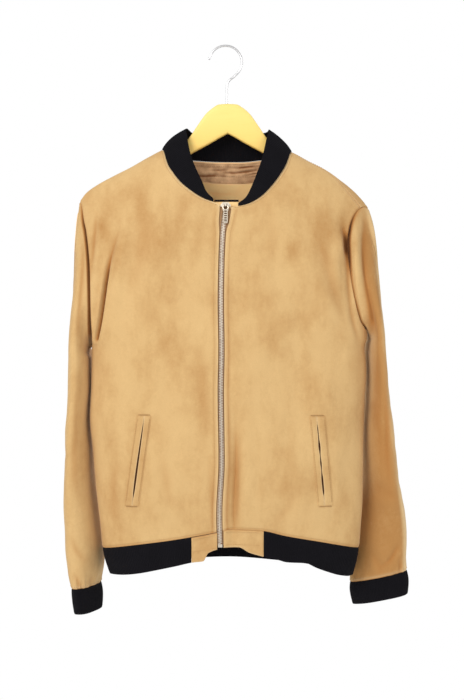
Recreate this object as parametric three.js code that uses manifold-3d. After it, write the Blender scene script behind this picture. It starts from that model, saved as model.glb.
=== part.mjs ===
import * as THREE from 'three';
import Module from 'manifold-3d';
import { mergeVertices } from 'three/addons/utils/BufferGeometryUtils.js';

const wasm = await Module();
wasm.setup();

// Millimetres. The front faces -Y, +Z is up, the origin is the inner top of the hook.
const SUEDE = 1.6;
const RIB = 2.2;
const LINING = 1.0;
const SEAM = 0.3;
const SHOULDER_FALL = 200;
const ROUND = 2.5;
const LOW_ROWS = 9;
const HIGH_ROWS = 11;
const NECK_ROWS = 7;
const SIDE_COLS = 9;
const BACK_NECK_COLS = 6;
const ZIP_HALF = 3.5;

// z, half width left, half width right, depth in front, depth behind
const BODY = [
  [-140, 240, 236, 52, 46], [-250, 240, 233, 54, 48], [-312, 236, 227, 56, 48],
  [-350, 233, 224, 57, 49], [-400, 230, 222, 61, 50], [-446, 226, 222.5, 65, 51],
  [-462, 221, 224.5, 66, 51.5], [-484, 214, 220.5, 67, 52], [-517, 214, 223.5, 68, 52],
  [-551, 214.6, 222, 69, 52], [-594, 216.5, 220, 69, 52], [-650, 212, 218.5, 69, 51],
  [-725, 204.6, 217, 64, 50], [-765, 200, 214.5, 59, 49], [-798, 196.5, 211.5, 56, 48],
  [-842, 184, 201.5, 54, 46], [-870, 176, 193, 52, 44],
];
// z, where the side seam lies front to back
const SPLIT = [[-450, -5], [-260, 1]];
// x, height of the shoulder ridge
const RIDGE = [
  [-245, -275], [-233.5, -248.5], [-223.5, -234], [-205, -220.6], [-178.7, -206.4], [-152, -193],
  [-123.5, -176.8], [-101, -165.6], [-60, -155.5], [0, -150], [60, -156], [103.5, -168.6],
  [131, -183], [157.6, -196], [174, -206.4], [200.5, -228], [217, -244.5], [227.5, -259],
  [236, -282],
];
// x, how far the right shoulder seam lies below the ridge
const SEAM_DROP = [[103.5, 1], [115, 1.2], [142, 2.2], [171, 5], [189, 11], [206, 15.5], [214, 18]];
// x, z, side (-1 front, 1 back), from the armpit up to the shoulder
const ARMHOLE_FRONT_R = [
  [0, -455, 0], [219, -449, -1], [213.5, -441, -1], [208, -424, -1], [203, -403, -1],
  [199, -380, -1], [196.2, -357, -1], [194.8, -334, -1], [194.3, -312, -1], [197, -291, -1],
  [203.5, -273, -1], [214, -259.4, -1],
];
const ARMHOLE_BACK_R = [
  [0, -455, 0], [220, -449, 1], [216, -438, 1], [212.5, -420, 1], [209.5, -397, 1],
  [208, -372, 1], [208, -347, 1], [210, -322, 1], [214, -299, 1], [221, -279, 1],
  [227.5, -259, 1], [214, -259.4, -1],
];
const ARMHOLE_FRONT_L = [
  [0, -484, 0], [-213, -477, -1], [-213.5, -462, -1], [-214.5, -440, -1], [-215.3, -417, -1],
  [-216, -393, -1], [-217, -369, -1], [-218.3, -345, -1], [-220.5, -321, -1], [-224, -298, -1],
  [-229, -273, -1], [-233.5, -248.5, -1],
];
const ARMHOLE_BACK_L = [
  [0, -484, 0], [-213, -477, 1], [-212, -462, 1], [-210.5, -440, 1], [-209.5, -417, 1],
  [-209, -393, 1], [-209.5, -369, 1], [-211.5, -345, 1], [-215, -321, 1], [-220, -298, 1],
  [-227, -272, 1], [-233.5, -248.5, 1],
];
// x, z, from the corner beside the zip to the shoulder
const NECK_R = [
  [8.5, -262], [19.5, -260.5], [38, -255.5], [57, -243.5], [73, -226.5], [85.5, -208.5],
  [95.5, -189.5], [103.5, -169.6],
];
const NECK_L = [
  [-9.5, -257.5], [-20, -253.5], [-37, -247], [-54, -236], [-70, -222.5], [-83, -206],
  [-93, -187], [-101, -165.6],
];
// x, z of the back neckline
const NECK_BACK = [
  [-101, -165.6], [-76, -175], [-40, -179.8], [1, -181], [44, -180], [87, -174.2], [103.5, -169.6],
];
// z, middle of the zip, distance from there to the suede edge
const ZIP = [
  [-250, 0, 9.5], [-263, -0.5, 9.2], [-285, -3, 8], [-303, -4.8, 5.4], [-346, -6.7, 5],
  [-408, -7.7, 5], [-486, -6.6, 5], [-547, -7.7, 5], [-655, -6.3, 5], [-740, -10, 5],
  [-800, -8.3, 5],
];
// x, z of the seam above the hem band, front and back
const HEM_FRONT = [
  [-200, -799], [-127, -787.6], [-95, -783], [-53.6, -776], [-9, -767], [3, -763.5],
  [30, -763.8], [58, -765.5], [92, -773.5], [149, -784.4], [180, -791], [215, -799],
];
const HEM_BACK = [[-200, -799], [-120, -786], [0, -777], [120, -787], [215, -799]];
// x, z of the lower edge of band and tabs
const LOW_FRONT = [
  [-190, -840], [-165.5, -838.5], [-148.2, -836.2], [-107.4, -828.1], [-75.5, -820.6],
  [-53.7, -815.5], [-35, -813], [-27, -800], [-11, -794], [1, -791.5], [20, -791.5],
  [36.6, -799.7], [54.5, -805], [76.9, -809.8], [94.9, -815], [124.7, -817.3], [141, -824.9],
  [159.3, -832.3], [178.6, -838.7], [205, -843.5],
];
const LOW_BACK = [[-190, -840], [-110, -829], [0, -822], [110, -830], [205, -843.5]];
// z, middle x, width, depth: soft valleys in the front
const VALLEYS_FRONT = [
  [[-280, -172, 13, 0], [-330, -183, 13, 5], [-380, -193, 12, 10],
    [-440, -203, 11, 13], [-500, -214, 12, 6], [-560, -222, 12, 0]],
  [[-255, 196, 12, 0], [-290, 190, 13, 8], [-330, 189, 13, 9],
    [-390, 193, 13, 7], [-450, 205, 14, 3], [-500, 214, 14, 0]],
  [[-560, 14, 12, 0], [-640, 14, 12, 5], [-740, 13, 12, 6], [-860, 12, 12, 0]],
  [[-300, -80, 34, 0], [-420, -90, 36, 4], [-560, -96, 36, 3], [-700, -86, 36, 0]],
  [[-330, 96, 34, 0], [-460, 104, 36, 4], [-600, 98, 36, 4], [-760, 92, 30, 0]],
];
const VALLEYS_BACK = [
  [[-300, -150, 26, 0], [-420, -160, 24, 7], [-560, -172, 24, 4], [-700, -176, 24, 0]],
  [[-300, 150, 26, 0], [-420, 158, 24, 7], [-560, 170, 24, 4], [-700, 176, 24, 0]],
  [[-260, -20, 30, 0], [-380, -24, 32, 5], [-560, -34, 34, 6], [-850, -30, 30, 0]],
  [[-420, 70, 30, 0], [-560, 66, 30, 5], [-700, 60, 30, 6], [-850, 60, 30, 0]],
];
// z, middle x, middle y, half thickness, half breadth, turn in degrees, tilt
const SLEEVE_R = [
  [-473, 239.4, 12, 12.5, 60.5, 4, 0], [-520, 240, 13, 15, 62, 5, 0], [-562, 242, 14, 17.2, 61.5, 6, 0],
  [-602, 244.2, 14, 18.6, 60, 8, 0.02], [-641, 245.4, 15, 20.4, 57.5, 11, 0.04],
  [-684, 247, 17, 22.2, 55, 16, 0.06],
  [-722, 247.4, 19, 23.4, 53, 29, 0.1], [-758, 247, 20, 23.6, 50, 45, 0.14],
  [-800, 246.6, 20, 23, 48, 60, 0.2],
  [-849, 245.8, 19, 21, 46.2, 70, 0.26],
];
const SLEEVE_L = [
  [-497, 234.5, 9, 15, 62, 3, 0], [-545, 235.3, 10, 16.3, 62.5, 3, 0], [-594, 236, 10, 16.5, 61.5, 4, 0],
  [-641, 235.8, 10, 17.6, 59, 6, -0.01], [-697, 235, 9, 19.4, 57, 9, -0.03],
  [-732, 233, 9, 21.4, 54, 12, -0.05],
  [-768, 229.8, 8, 22, 51, 14, -0.06], [-806, 226.6, 7, 23.2, 48, 18, -0.06],
  [-836, 224.2, 6, 21.6, 46, 20, -0.05],
  [-861, 223.8, 6, 16, 43, 18, -0.03],
];
const CUFF_R = [
  [-849, 245.8, 19, 21, 46.2, 70, 0.26], [-861, 246.6, 19, 21, 47.2, 70, 0.26],
  [-886, 249, 19, 20, 45, 70, 0.25],
];
const CUFF_L = [
  [-861, 223.8, 6, 16, 43, 18, -0.03], [-873, 222.4, 5, 17.2, 42, 18, -0.03],
  [-901, 220, 4, 15.5, 40, 18, -0.04],
];
// place along the collar: rise, lean inwards, roll outwards
const COLLAR = [
  [0, 3.2, 1.5, 0], [1, 9, 8, 0.5], [2, 17, 17, 1.5], [3, 22, 24, 3], [4, 25, 29, 4],
  [5, 28, 33.5, 5], [6, 30, 35.5, 5], [7, 37.5, 24, 4], [9, 46.5, 9, 3],
];

const clamp = (v, a, b) => Math.min(b, Math.max(a, v));
const minus = (a, b) => [a[0] - b[0], a[1] - b[1], a[2] - b[2]];
const plus = (a, b, k = 1) => [a[0] + b[0] * k, a[1] + b[1] * k, a[2] + b[2] * k];
const cross = (a, b) => [a[1] * b[2] - a[2] * b[1], a[2] * b[0] - a[0] * b[2], a[0] * b[1] - a[1] * b[0]];
const dot = (a, b) => a[0] * b[0] + a[1] * b[1] + a[2] * b[2];
const unit = (a) => { const l = Math.hypot(a[0], a[1], a[2]) || 1; return [a[0] / l, a[1] / l, a[2] / l]; };

// Smooth reading of a table by its first column
function table(rows, key, column) {
  const n = rows.length;
  const up = rows[n - 1][0] > rows[0][0];
  const k = (i) => (up ? rows[i][0] : -rows[i][0]);
  const q = up ? key : -key;
  if (q <= k(0)) return rows[0][column];
  if (q >= k(n - 1)) return rows[n - 1][column];
  let i = 0;
  while (q > k(i + 1)) i += 1;
  const slope = (a, b) => (rows[b][column] - rows[a][column]) / (k(b) - k(a));
  const tangent = (j) => {
    if (j === 0) return slope(0, 1);
    if (j === n - 1) return slope(n - 2, n - 1);
    const a = slope(j - 1, j);
    const b = slope(j, j + 1);
    return a * b <= 0 ? 0 : (2 * a * b) / (a + b);
  };
  const h = k(i + 1) - k(i);
  const t = (q - k(i)) / h;
  const t2 = t * t;
  const t3 = t2 * t;
  return rows[i][column] * (2 * t3 - 3 * t2 + 1) + tangent(i) * h * (t3 - 2 * t2 + t)
    + rows[i + 1][column] * (3 * t2 - 2 * t3) + tangent(i + 1) * h * (t3 - t2);
}

const ridge = (x) => table(RIDGE, x, 1);
const halfWidth = (x, z) => table(BODY, z, x < 0 ? 1 : 2);

function valleys(list, x, z) {
  let sum = 0;
  for (const rows of list) {
    if (z > rows[0][0] || z < rows[rows.length - 1][0]) continue;
    const u = (x - table(rows, z, 1)) / table(rows, z, 2);
    sum -= table(rows, z, 3) * Math.exp(-u * u);
  }
  return sum;
}

// Body form: e is the root of the drop below the ridge, negative in front and positive behind
function body(x, e) {
  const z = ridge(x) - e * e;
  const side = e < 0 ? -1 : 1;
  const half = halfWidth(x, z);
  const over = clamp(Math.abs(x) / half, 0, 1);
  const across = Math.pow(Math.max(0, 1 - Math.pow(over, ROUND)), 1 / ROUND);
  const fall = clamp((e * e) / SHOULDER_FALL, 0, 1);
  const down = Math.sqrt(Math.max(0, 1 - (1 - fall) * (1 - fall)));
  const depth = table(BODY, z, side < 0 ? 3 : 4) + valleys(side < 0 ? VALLEYS_FRONT : VALLEYS_BACK, x, z);
  return [x, table(SPLIT, z, 1) + side * depth * down * across, z];
}
// Direction out of the body form at one of its points
function bodyNormal(p, side) {
  const square = (x, z) => {
    const over = clamp(Math.abs(x) / halfWidth(x, z), 0, 1);
    const fall = Math.min(1, (ridge(x) - z) / SHOULDER_FALL);
    const depth = table(BODY, z, side < 0 ? 3 : 4) + valleys(side < 0 ? VALLEYS_FRONT : VALLEYS_BACK, x, z);
    const across = Math.pow(Math.max(0, 1 - Math.pow(over, ROUND)), 2 / ROUND);
    return depth * depth * (2 * fall - fall * fall) * across;
  };
  const h = 0.4;
  const [x, y, z] = p;
  return unit([(square(x - h, z) - square(x + h, z)) / (2 * h), 2 * (y - table(SPLIT, z, 1)),
    (square(x, z - h) - square(x, z + h)) / (2 * h)]);
}
const rootOf = (x, z, side) => (side < 0 ? -1 : 1) * Math.sqrt(Math.max(0, ridge(x) - z));

// Smooth curve through points, u in steps of the list
function through(list, u) {
  const n = list.length - 1;
  const i = Math.min(n - 1, Math.floor(clamp(u, 0, n)));
  const t = clamp(u, 0, n) - i;
  const at = (j) => list[clamp(j, 0, n)];
  return list[0].map((_, c) => {
    const [a, b, d, f] = [at(i - 1)[c], at(i)[c], at(i + 1)[c], at(i + 2)[c]];
    return 0.5 * (2 * b + (d - a) * t + (2 * a - 5 * b + 4 * d - f) * t * t
      + (3 * b - a - 3 * d + f) * t * t * t);
  });
}

const armhole = (rows, sign) => rows.map(([x, z, side]) => {
  if (side === 0) return [sign * halfWidth(sign, z), null, z];
  return [x, rootOf(x, z, side), z];
});
function armpitRoot(points, side) {
  points[0][1] = rootOf(points[0][0], points[0][2], side);
  return points.map(([x, e]) => [x, e]);
}
const EDGE_FR = armpitRoot(armhole(ARMHOLE_FRONT_R, 1), -1);
const EDGE_BR = armpitRoot(armhole(ARMHOLE_BACK_R, 1), 1);
const EDGE_FL = armpitRoot(armhole(ARMHOLE_FRONT_L, -1), -1);
const EDGE_BL = armpitRoot(armhole(ARMHOLE_BACK_L, -1), 1);
const NECK_FR = NECK_R.map(([x, z]) => [x, rootOf(x, z, -1)]);
const NECK_FL = NECK_L.map(([x, z]) => [x, rootOf(x, z, -1)]);
const NECK_B = NECK_BACK.map(([x, z], i) => [x, i === 6 ? -1 : rootOf(x, z, 1)]);
const ROWS = LOW_ROWS + HIGH_ROWS;
const NECK_START = ROWS - NECK_ROWS;

// The side edge in steps of rows: seam up to the armpit, then the armhole
function sideEdge(sign, side, hemZ, edge, row) {
  if (row >= LOW_ROWS) return through(edge, row - LOW_ROWS);
  const low = hemZ;
  const top = ridge(edge[0][0]) - edge[0][1] * edge[0][1];
  const z = low + (top - low) * (row / LOW_ROWS);
  const x = sign * halfWidth(sign, z);
  return [x, rootOf(x, z, side)];
}
function zipEdge(sign, row) {
  const neck = sign > 0 ? NECK_R : NECK_L;
  if (row >= NECK_START) return through(sign > 0 ? NECK_FR : NECK_FL, row - NECK_START);
  const low = table(HEM_FRONT, sign * 3 - 8, 1);
  const z = low + (neck[0][1] - low) * (row / NECK_START);
  const x = table(ZIP, z, 1) + sign * table(ZIP, z, 2);
  return [x, rootOf(x, z, -1)];
}
const gather = (s) => Math.pow(Math.sin((s * Math.PI) / 2), 0.85);
const mix = (a, b, t) => [a[0] + (b[0] - a[0]) * t, a[1] + (b[1] - a[1]) * t];

// Four-sided patch between its edges, all in x and e
function patch(bottom, top, left, right, s, t, row) {
  const c00 = bottom(0);
  const c10 = bottom(1);
  const c01 = top(0);
  const c11 = top(1);
  const b = bottom(s);
  const u = top(s);
  const l = left(row);
  const r = right(row);
  return [0, 1].map((k) => (1 - t) * b[k] + t * u[k] + (1 - s) * l[k] + s * r[k]
    - ((1 - s) * (1 - t) * c00[k] + s * (1 - t) * c10[k] + (1 - s) * t * c01[k] + s * t * c11[k]));
}

function frontPoint(sign, s, row) {
  const hemZ = table(HEM_FRONT, sign * halfWidth(sign, -799), 1);
  const edge = sign > 0 ? EDGE_FR : EDGE_FL;
  const left = (r) => zipEdge(sign, r);
  const right = (r) => sideEdge(sign, -1, hemZ, edge, r);
  const x0 = left(0)[0];
  const x1 = right(0)[0];
  const bottom = (q) => {
    const x = x0 + (x1 - x0) * gather(q);
    return [x, rootOf(x, table(HEM_FRONT, x, 1), -1)];
  };
  const a = left(ROWS);
  const b = right(ROWS);
  const top = (q) => {
    const x = a[0] + (b[0] - a[0]) * (0.55 * q + 0.45 * gather(q));
    return [x, sign > 0 ? -Math.sqrt(table(SEAM_DROP, x, 1)) : 0];
  };
  const [x, e] = patch(bottom, top, left, right, s, row / ROWS, row);
  return body(x, Math.min(e, 0));
}

const BACK_COLS = 2 * SIDE_COLS + BACK_NECK_COLS;
function backPoint(column, row) {
  const hemZ = table(HEM_BACK, 211, 1);
  const left = (r) => sideEdge(-1, 1, hemZ, EDGE_BL, r);
  const right = (r) => sideEdge(1, 1, hemZ, EDGE_BR, r);
  const s = column / BACK_COLS;
  const bottom = (q) => {
    const w = q < 0.5 ? left(0)[0] : -right(0)[0];
    const x = (q < 0.5 ? 1 : -1) * w * Math.pow(Math.sin((Math.abs(1 - 2 * q) * Math.PI) / 2), 0.85);
    return [x, rootOf(x, table(HEM_BACK, x, 1), 1)];
  };
  const top = (q) => {
    const c = q * BACK_COLS;
    if (c >= SIDE_COLS && c <= SIDE_COLS + BACK_NECK_COLS) return through(NECK_B, c - SIDE_COLS);
    const sign = c < SIDE_COLS ? -1 : 1;
    const p = (sign < 0 ? SIDE_COLS - c : c - SIDE_COLS - BACK_NECK_COLS) / SIDE_COLS;
    const inner = sign < 0 ? NECK_B[0] : NECK_B[BACK_NECK_COLS];
    const outer = sign < 0 ? EDGE_BL[HIGH_ROWS] : EDGE_BR[HIGH_ROWS];
    const x = inner[0] + (outer[0] - inner[0]) * (0.55 * p + 0.45 * gather(p));
    return [x, sign > 0 ? -Math.sqrt(table(SEAM_DROP, x, 1)) : 0];
  };
  const [x, e] = patch(bottom, top, left, right, s, row / ROWS, row);
  return body(x, e);
}

function gridOf(rows, cols, at) {
  const g = [];
  for (let i = 0; i <= rows; i += 1) {
    const line = [];
    for (let j = 0; j <= cols; j += 1) line.push(at(i, j));
    g.push(line);
  }
  return g;
}

// Normals of a grid of points; ring grids close on themselves along a row
function normalsOf(g, ring, flip) {
  const m = g.length;
  const n = g[0].length;
  return g.map((line, i) => line.map((p, j) => {
    const up = minus(g[Math.min(m - 1, i + 1)][j], g[Math.max(0, i - 1)][j]);
    const jn = ring ? (j + 1) % n : Math.min(n - 1, j + 1);
    const jp = ring ? (j - 1 + n) % n : Math.max(0, j - 1);
    const v = unit(cross(minus(line[jn], line[jp]), up));
    return flip ? [-v[0], -v[1], -v[2]] : v;
  }));
}

function solid(name, positions, faces, material) {
  let volume = 0;
  for (const [a, b, c] of faces) volume += dot(positions[a], cross(positions[b], positions[c]));
  const index = [];
  for (const [a, b, c] of faces) index.push(a, volume < 0 ? c : b, volume < 0 ? b : c);
  const geometry = new THREE.BufferGeometry();
  geometry.setAttribute('position', new THREE.Float32BufferAttribute(positions.flat(), 3));
  geometry.setIndex(index);
  geometry.computeVertexNormals();
  const mesh = new THREE.Mesh(geometry, new THREE.MeshStandardMaterial(material));
  mesh.name = name;
  return mesh;
}

// Closed wall between the outer grid and the inner grid
function wall(name, outer, inner, ring, material) {
  const m = outer.length;
  const n = outer[0].length;
  const positions = [...outer.flat(), ...inner.flat()];
  const faces = [];
  const id = (layer, i, j) => layer * m * n + i * n + (ring ? j % n : j);
  const apart = (a, b) => Math.hypot(...minus(positions[a], positions[b]));
  const quad = (a, b, c, d) => faces.push([a, b, c], [a, c, d]);
  const strip = (a, b, c, d) => (apart(a, c) < apart(b, d)
    ? quad(a, b, c, d) : faces.push([a, b, d], [b, c, d]));
  const spans = ring ? n : n - 1;
  for (let i = 0; i < m - 1; i += 1) {
    for (let j = 0; j < spans; j += 1) {
      quad(id(0, i, j), id(0, i, j + 1), id(0, i + 1, j + 1), id(0, i + 1, j));
      faces.push([id(1, i, j), id(1, i + 1, j + 1), id(1, i, j + 1)]);
      faces.push([id(1, i, j), id(1, i + 1, j), id(1, i + 1, j + 1)]);
    }
  }
  for (let j = 0; j < spans; j += 1) {
    strip(id(1, 0, j), id(1, 0, j + 1), id(0, 0, j + 1), id(0, 0, j));
    strip(id(0, m - 1, j), id(0, m - 1, j + 1), id(1, m - 1, j + 1), id(1, m - 1, j));
  }
  if (!ring) {
    for (let i = 0; i < m - 1; i += 1) {
      strip(id(0, i, 0), id(0, i + 1, 0), id(1, i + 1, 0), id(1, i, 0));
      strip(id(1, i, n - 1), id(1, i + 1, n - 1), id(0, i + 1, n - 1), id(0, i, n - 1));
    }
  }
  return solid(name, positions, faces, material);
}
const shell = (name, g, normals, thick, ring, material) => wall(name, g,
  g.map((line, i) => line.map((p, j) => plus(p, normals[i][j], -thick))), ring, material);

const LOOK = {
  suede: { color: 0xd9b27a, roughness: 0.95, metalness: 0 },
  rib: { color: 0x1a1a1e, roughness: 0.95, metalness: 0 },
  facing: { color: 0xb08c68, roughness: 0.9, metalness: 0 },
  lining: { color: 0xe0b98c, roughness: 0.8, metalness: 0 },
  tape: { color: 0xcbb189, roughness: 0.9, metalness: 0 },
  metal: { color: 0xcfcbc2, roughness: 0.35, metalness: 0.9 },
  wood: { color: 0xf2d886, roughness: 0.6, metalness: 0 },
};

// Panels and their shared seams
const frontR = gridOf(ROWS, SIDE_COLS, (i, j) => frontPoint(1, j / SIDE_COLS, i));
const frontL = gridOf(ROWS, SIDE_COLS, (i, j) => frontPoint(-1, j / SIDE_COLS, i));
const backG = gridOf(ROWS, BACK_COLS, (i, j) => backPoint(j, i));
const normR = frontR.map((line) => line.map((p) => bodyNormal(p, -1)));
const normL = frontL.map((line) => line.map((p) => bodyNormal(p, -1)));
const normB = backG.map((line) => line.map((p) => bodyNormal(p, p[1] < table(SPLIT, p[2], 1) ? -1 : 1)));

function share(list) {
  const sum = unit(list.reduce((a, [g, i, j]) => plus(a, g[i][j]), [0, 0, 0]));
  for (const [g, i, j] of list) g[i][j] = sum;
}
for (let i = 0; i <= LOW_ROWS; i += 1) {
  share([[normR, i, SIDE_COLS], [normB, i, BACK_COLS]]);
  share([[normL, i, SIDE_COLS], [normB, i, 0]]);
}
for (let j = 0; j <= SIDE_COLS; j += 1) {
  share([[normR, ROWS, j], [normB, ROWS, SIDE_COLS + BACK_NECK_COLS + j]]);
  share([[normL, ROWS, j], [normB, ROWS, SIDE_COLS - j]]);
}

// Moves the points of an edge along the cloth, away from the seam
function pull(points, normals, into, distance) {
  return points.map((p, k) => {
    const tangent = unit(minus(points[Math.min(points.length - 1, k + 1)], points[Math.max(0, k - 1)]));
    let across = unit(cross(normals[k], tangent));
    if (dot(across, minus(into[k], p)) < 0) across = across.map((v) => -v);
    return plus(p, across, distance);
  });
}
function trim(g, normals, cells, inside, distance) {
  const moved = pull(cells.map(([i, j]) => g[i][j]), cells.map(([i, j]) => normals[i][j]),
    inside.map(([i, j]) => g[i][j]), distance);
  cells.forEach(([i, j], k) => { g[i][j] = moved[k]; });
}
const span = (n, f) => Array.from({ length: n + 1 }, (_, k) => f(k));
const copy = (g) => g.map((line) => line.map((p) => [...p]));
const cutR = copy(frontR);
const cutL = copy(frontL);
const cutB = copy(backG);
const HALF = SEAM / 2;
for (const [g, n] of [[cutR, normR], [cutL, normL]]) {
  trim(g, n, span(ROWS, (i) => [i, SIDE_COLS]), span(ROWS, (i) => [i, SIDE_COLS - 1]), HALF);
  trim(g, n, span(SIDE_COLS, (j) => [ROWS, j]), span(SIDE_COLS, (j) => [ROWS - 1, j]), HALF);
}
trim(cutB, normB, span(ROWS, (i) => [i, 0]), span(ROWS, (i) => [i, 1]), HALF);
trim(cutB, normB, span(ROWS, (i) => [i, BACK_COLS]), span(ROWS, (i) => [i, BACK_COLS - 1]), HALF);
trim(cutB, normB, span(BACK_COLS, (j) => [ROWS, j]), span(BACK_COLS, (j) => [ROWS - 1, j]), HALF);

const group = new THREE.Group();
group.name = 'suede_jacket';
group.add(shell('front_right', cutR, normR, SUEDE, false, LOOK.suede));
group.add(shell('front_left', cutL, normL, SUEDE, false, LOOK.suede));
group.add(shell('back', cutB, normB, SUEDE, false, LOOK.suede));

// Sleeves
const RING = 2 * HIGH_ROWS;
// the sleeve stands a little off the body under the arm, counted in points from the armpit
const PIT_SPARE = [2.4, 2.1, 1.5, 0.8];
const PIT_OUT = [0.8, 0.6, 0.4, 0.2];
const CAP = [0, 0.06, 0.16, 0.34, 0.56, 0.78, 1];
function ringPoint(sign, rows, z, turn) {
  const at = (c) => table(rows, z, c);
  const rho = (at(5) * Math.PI) / 180;
  const out = at(3) * Math.sign(Math.cos(turn)) * Math.pow(Math.abs(Math.cos(turn)), 0.9);
  const fore = at(4) * Math.sin(turn);
  const x = at(1) + out * Math.cos(rho) + fore * Math.sin(rho);
  const y = at(2) + out * Math.sin(rho) - fore * Math.cos(rho);
  return [sign * x, y, z + at(6) * (x - at(1))];
}
function sleeveGrid(sign) {
  const rows = sign > 0 ? SLEEVE_R : SLEEVE_L;
  const g = sign > 0 ? frontR : frontL;
  const normals = sign > 0 ? normR : normL;
  const col = sign > 0 ? BACK_COLS : 0;
  const start = sign > 0 ? 22 : 0;
  const loop = [];
  for (let k = 0; k < RING; k += 1) {
    const front = k <= HIGH_ROWS;
    const row = front ? ROWS - k : ROWS - (RING - k);
    loop.push(front
      ? { p: g[row][SIDE_COLS], n: normals[row][SIDE_COLS] }
      : { p: backG[row][col], n: normB[row][col] });
  }
  const turns = loop.map((_, k) => ((k <= HIGH_ROWS
    ? start + ((180 - start) * k) / HIGH_ROWS
    : 180 + ((180 + start) * (k - HIGH_ROWS)) / HIGH_ROWS) * Math.PI) / 180);
  const grid = [];
  const first = [];
  for (let k = 0; k < RING; k += 1) {
    const tangent = unit(minus(loop[(k + 1) % RING].p, loop[(k + RING - 1) % RING].p));
    let away = unit(cross(loop[k].n, tangent));
    if (sign < 0) away = away.map((v) => -v);
    const turn = Math.abs(k - HIGH_ROWS);
    const behind = k > HIGH_ROWS && k < RING - 3 ? 0.9 : 0;
    const spare = Math.max(turn < 4 ? PIT_SPARE[turn] : 0, behind);
    const out = unit([sign * (turn < 4 ? PIT_OUT[turn] : 0), 0, 0].map((v, c) => v + away[c]));
    first.push({ p: plus(loop[k].p, out, HALF + spare), away: out });
  }
  for (const v of CAP) {
    grid.push(first.map(({ p, away }, k) => {
      if (v === 0) return p;
      const end = ringPoint(sign, rows, rows[0][0], turns[k]);
      const low = 0.5 - 0.5 * Math.cos(turns[k]);
      const lead = (34 * (1 - low) + 13 * low) * (k > HIGH_ROWS ? 1.5 : 1);
      const fall = 190 * (1 - low) + 26 * low;
      const v2 = v * v;
      const v3 = v2 * v;
      return [0, 1, 2].map((c) => p[c] * (2 * v3 - 3 * v2 + 1) + away[c] * lead * (v3 - 2 * v2 + v)
        + end[c] * (3 * v2 - 2 * v3) + (c === 2 ? -fall : 0) * (v3 - v2));
    }));
  }
  for (const row of rows.slice(1)) grid.push(turns.map((turn) => ringPoint(sign, rows, row[0], turn)));
  return { grid, turns, loop };
}
for (const sign of [1, -1]) {
  const { grid, turns, loop } = sleeveGrid(sign);
  const normals = normalsOf(grid, true, sign > 0);
  loop.forEach((l, k) => { normals[0][k] = l.n; });
  const side = sign > 0 ? 'right' : 'left';
  const rows = sign > 0 ? CUFF_R : CUFF_L;
  const zs = [rows[0][0] - SEAM, rows[1][0], (rows[1][0] + rows[2][0]) / 2, rows[2][0]];
  const cuff = zs.map((z) => turns.map((turn) => ringPoint(sign, rows, z, turn)));
  const cuffNormals = normalsOf(cuff, true, sign > 0);
  const end = grid.length - 1;
  turns.forEach((_, k) => share([[normals, end, k], [cuffNormals, 0, k]]));
  group.add(shell(`sleeve_${side}`, grid, normals, SUEDE, true, LOOK.suede));
  group.add(shell(`cuff_${side}`, cuff, cuffNormals, RIB, true, LOOK.rib));
}

// Collar: a rib band from the neckline inwards and up, one point for each point of the neckline
const neckline = [];
for (let i = NECK_START + 1; i <= ROWS; i += 1) {
  neckline.push({ p: frontL[i][0], n: normL[i][0], at: i - NECK_START - 1 });
}
for (let j = 1; j < BACK_NECK_COLS; j += 1) {
  const at = 6 + 3 * (1 - Math.abs(j / 3 - 1));
  neckline.push({ p: backG[ROWS][SIDE_COLS + j], n: normB[ROWS][SIDE_COLS + j], at });
}
for (let i = ROWS; i > NECK_START; i -= 1) {
  neckline.push({ p: frontR[i][0], n: normR[i][0], at: i - NECK_START - 1 });
}
const COLLAR_ROWS = [0, 0.3, 0.65, 1];
const collarOuter = COLLAR_ROWS.map((v) => neckline.map(({ p, at }) => {
  const rise = table(COLLAR, at, 1);
  const lean = table(COLLAR, at, 2);
  const inward = unit([2 - p[0], -12 - p[1], 0]);
  const roll = table(COLLAR, at, 3) * 4 * v * (1 - v);
  const base = plus(p, unit([inward[0] * lean, inward[1] * lean, rise]), 0.35);
  return [base[0] + inward[0] * (lean * v - roll * 0.7), base[1] + inward[1] * (lean * v - roll * 0.7),
    base[2] + rise * v + roll * 0.5];
}));
group.add(shell('collar_rib', collarOuter, normalsOf(collarOuter, false, false), RIB, false, LOOK.rib));

// Hem: tabs beside the zip and one rib band between them, on the same form as the body
const HEM_DROP = [0, 0.5, 1];
function hemEdge(side, x) {
  const line = side > 0 ? backG[0] : (x < -5 ? frontL[0] : frontR[0]).slice().sort((a, b) => a[0] - b[0]);
  const q = clamp(x, line[0][0], line[line.length - 1][0]);
  let i = 0;
  while (i < line.length - 2 && q > line[i + 1][0]) i += 1;
  const t = (q - line[i][0]) / (line[i + 1][0] - line[i][0]);
  return line[i][2] + (line[i + 1][2] - line[i][2]) * t;
}
function hemPoint(side, x, v) {
  const top = hemEdge(side, x) - 1.5 * SEAM;
  const low = table(side < 0 ? LOW_FRONT : LOW_BACK, x, 1);
  const z = top + (low - top) * v;
  return body(x, rootOf(x, z, side));
}
function hemSide(sign, v) {
  const z = -799 - SEAM + (table(LOW_FRONT, sign * 203, 1) + 799 + SEAM) * v;
  return [sign * halfWidth(sign, z), table(SPLIT, z, 1), z];
}
const TAB_LEFT = -53.6;
const TAB_RIGHT = 59;
const around = [];
for (let j = 0; j < SIDE_COLS; j += 1) around.push([-1, j / SIDE_COLS]);
for (let j = 0; j <= BACK_COLS; j += 1) around.push([0, j / BACK_COLS]);
for (let j = SIDE_COLS - 1; j >= 0; j -= 1) around.push([1, j / SIDE_COLS]);
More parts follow.
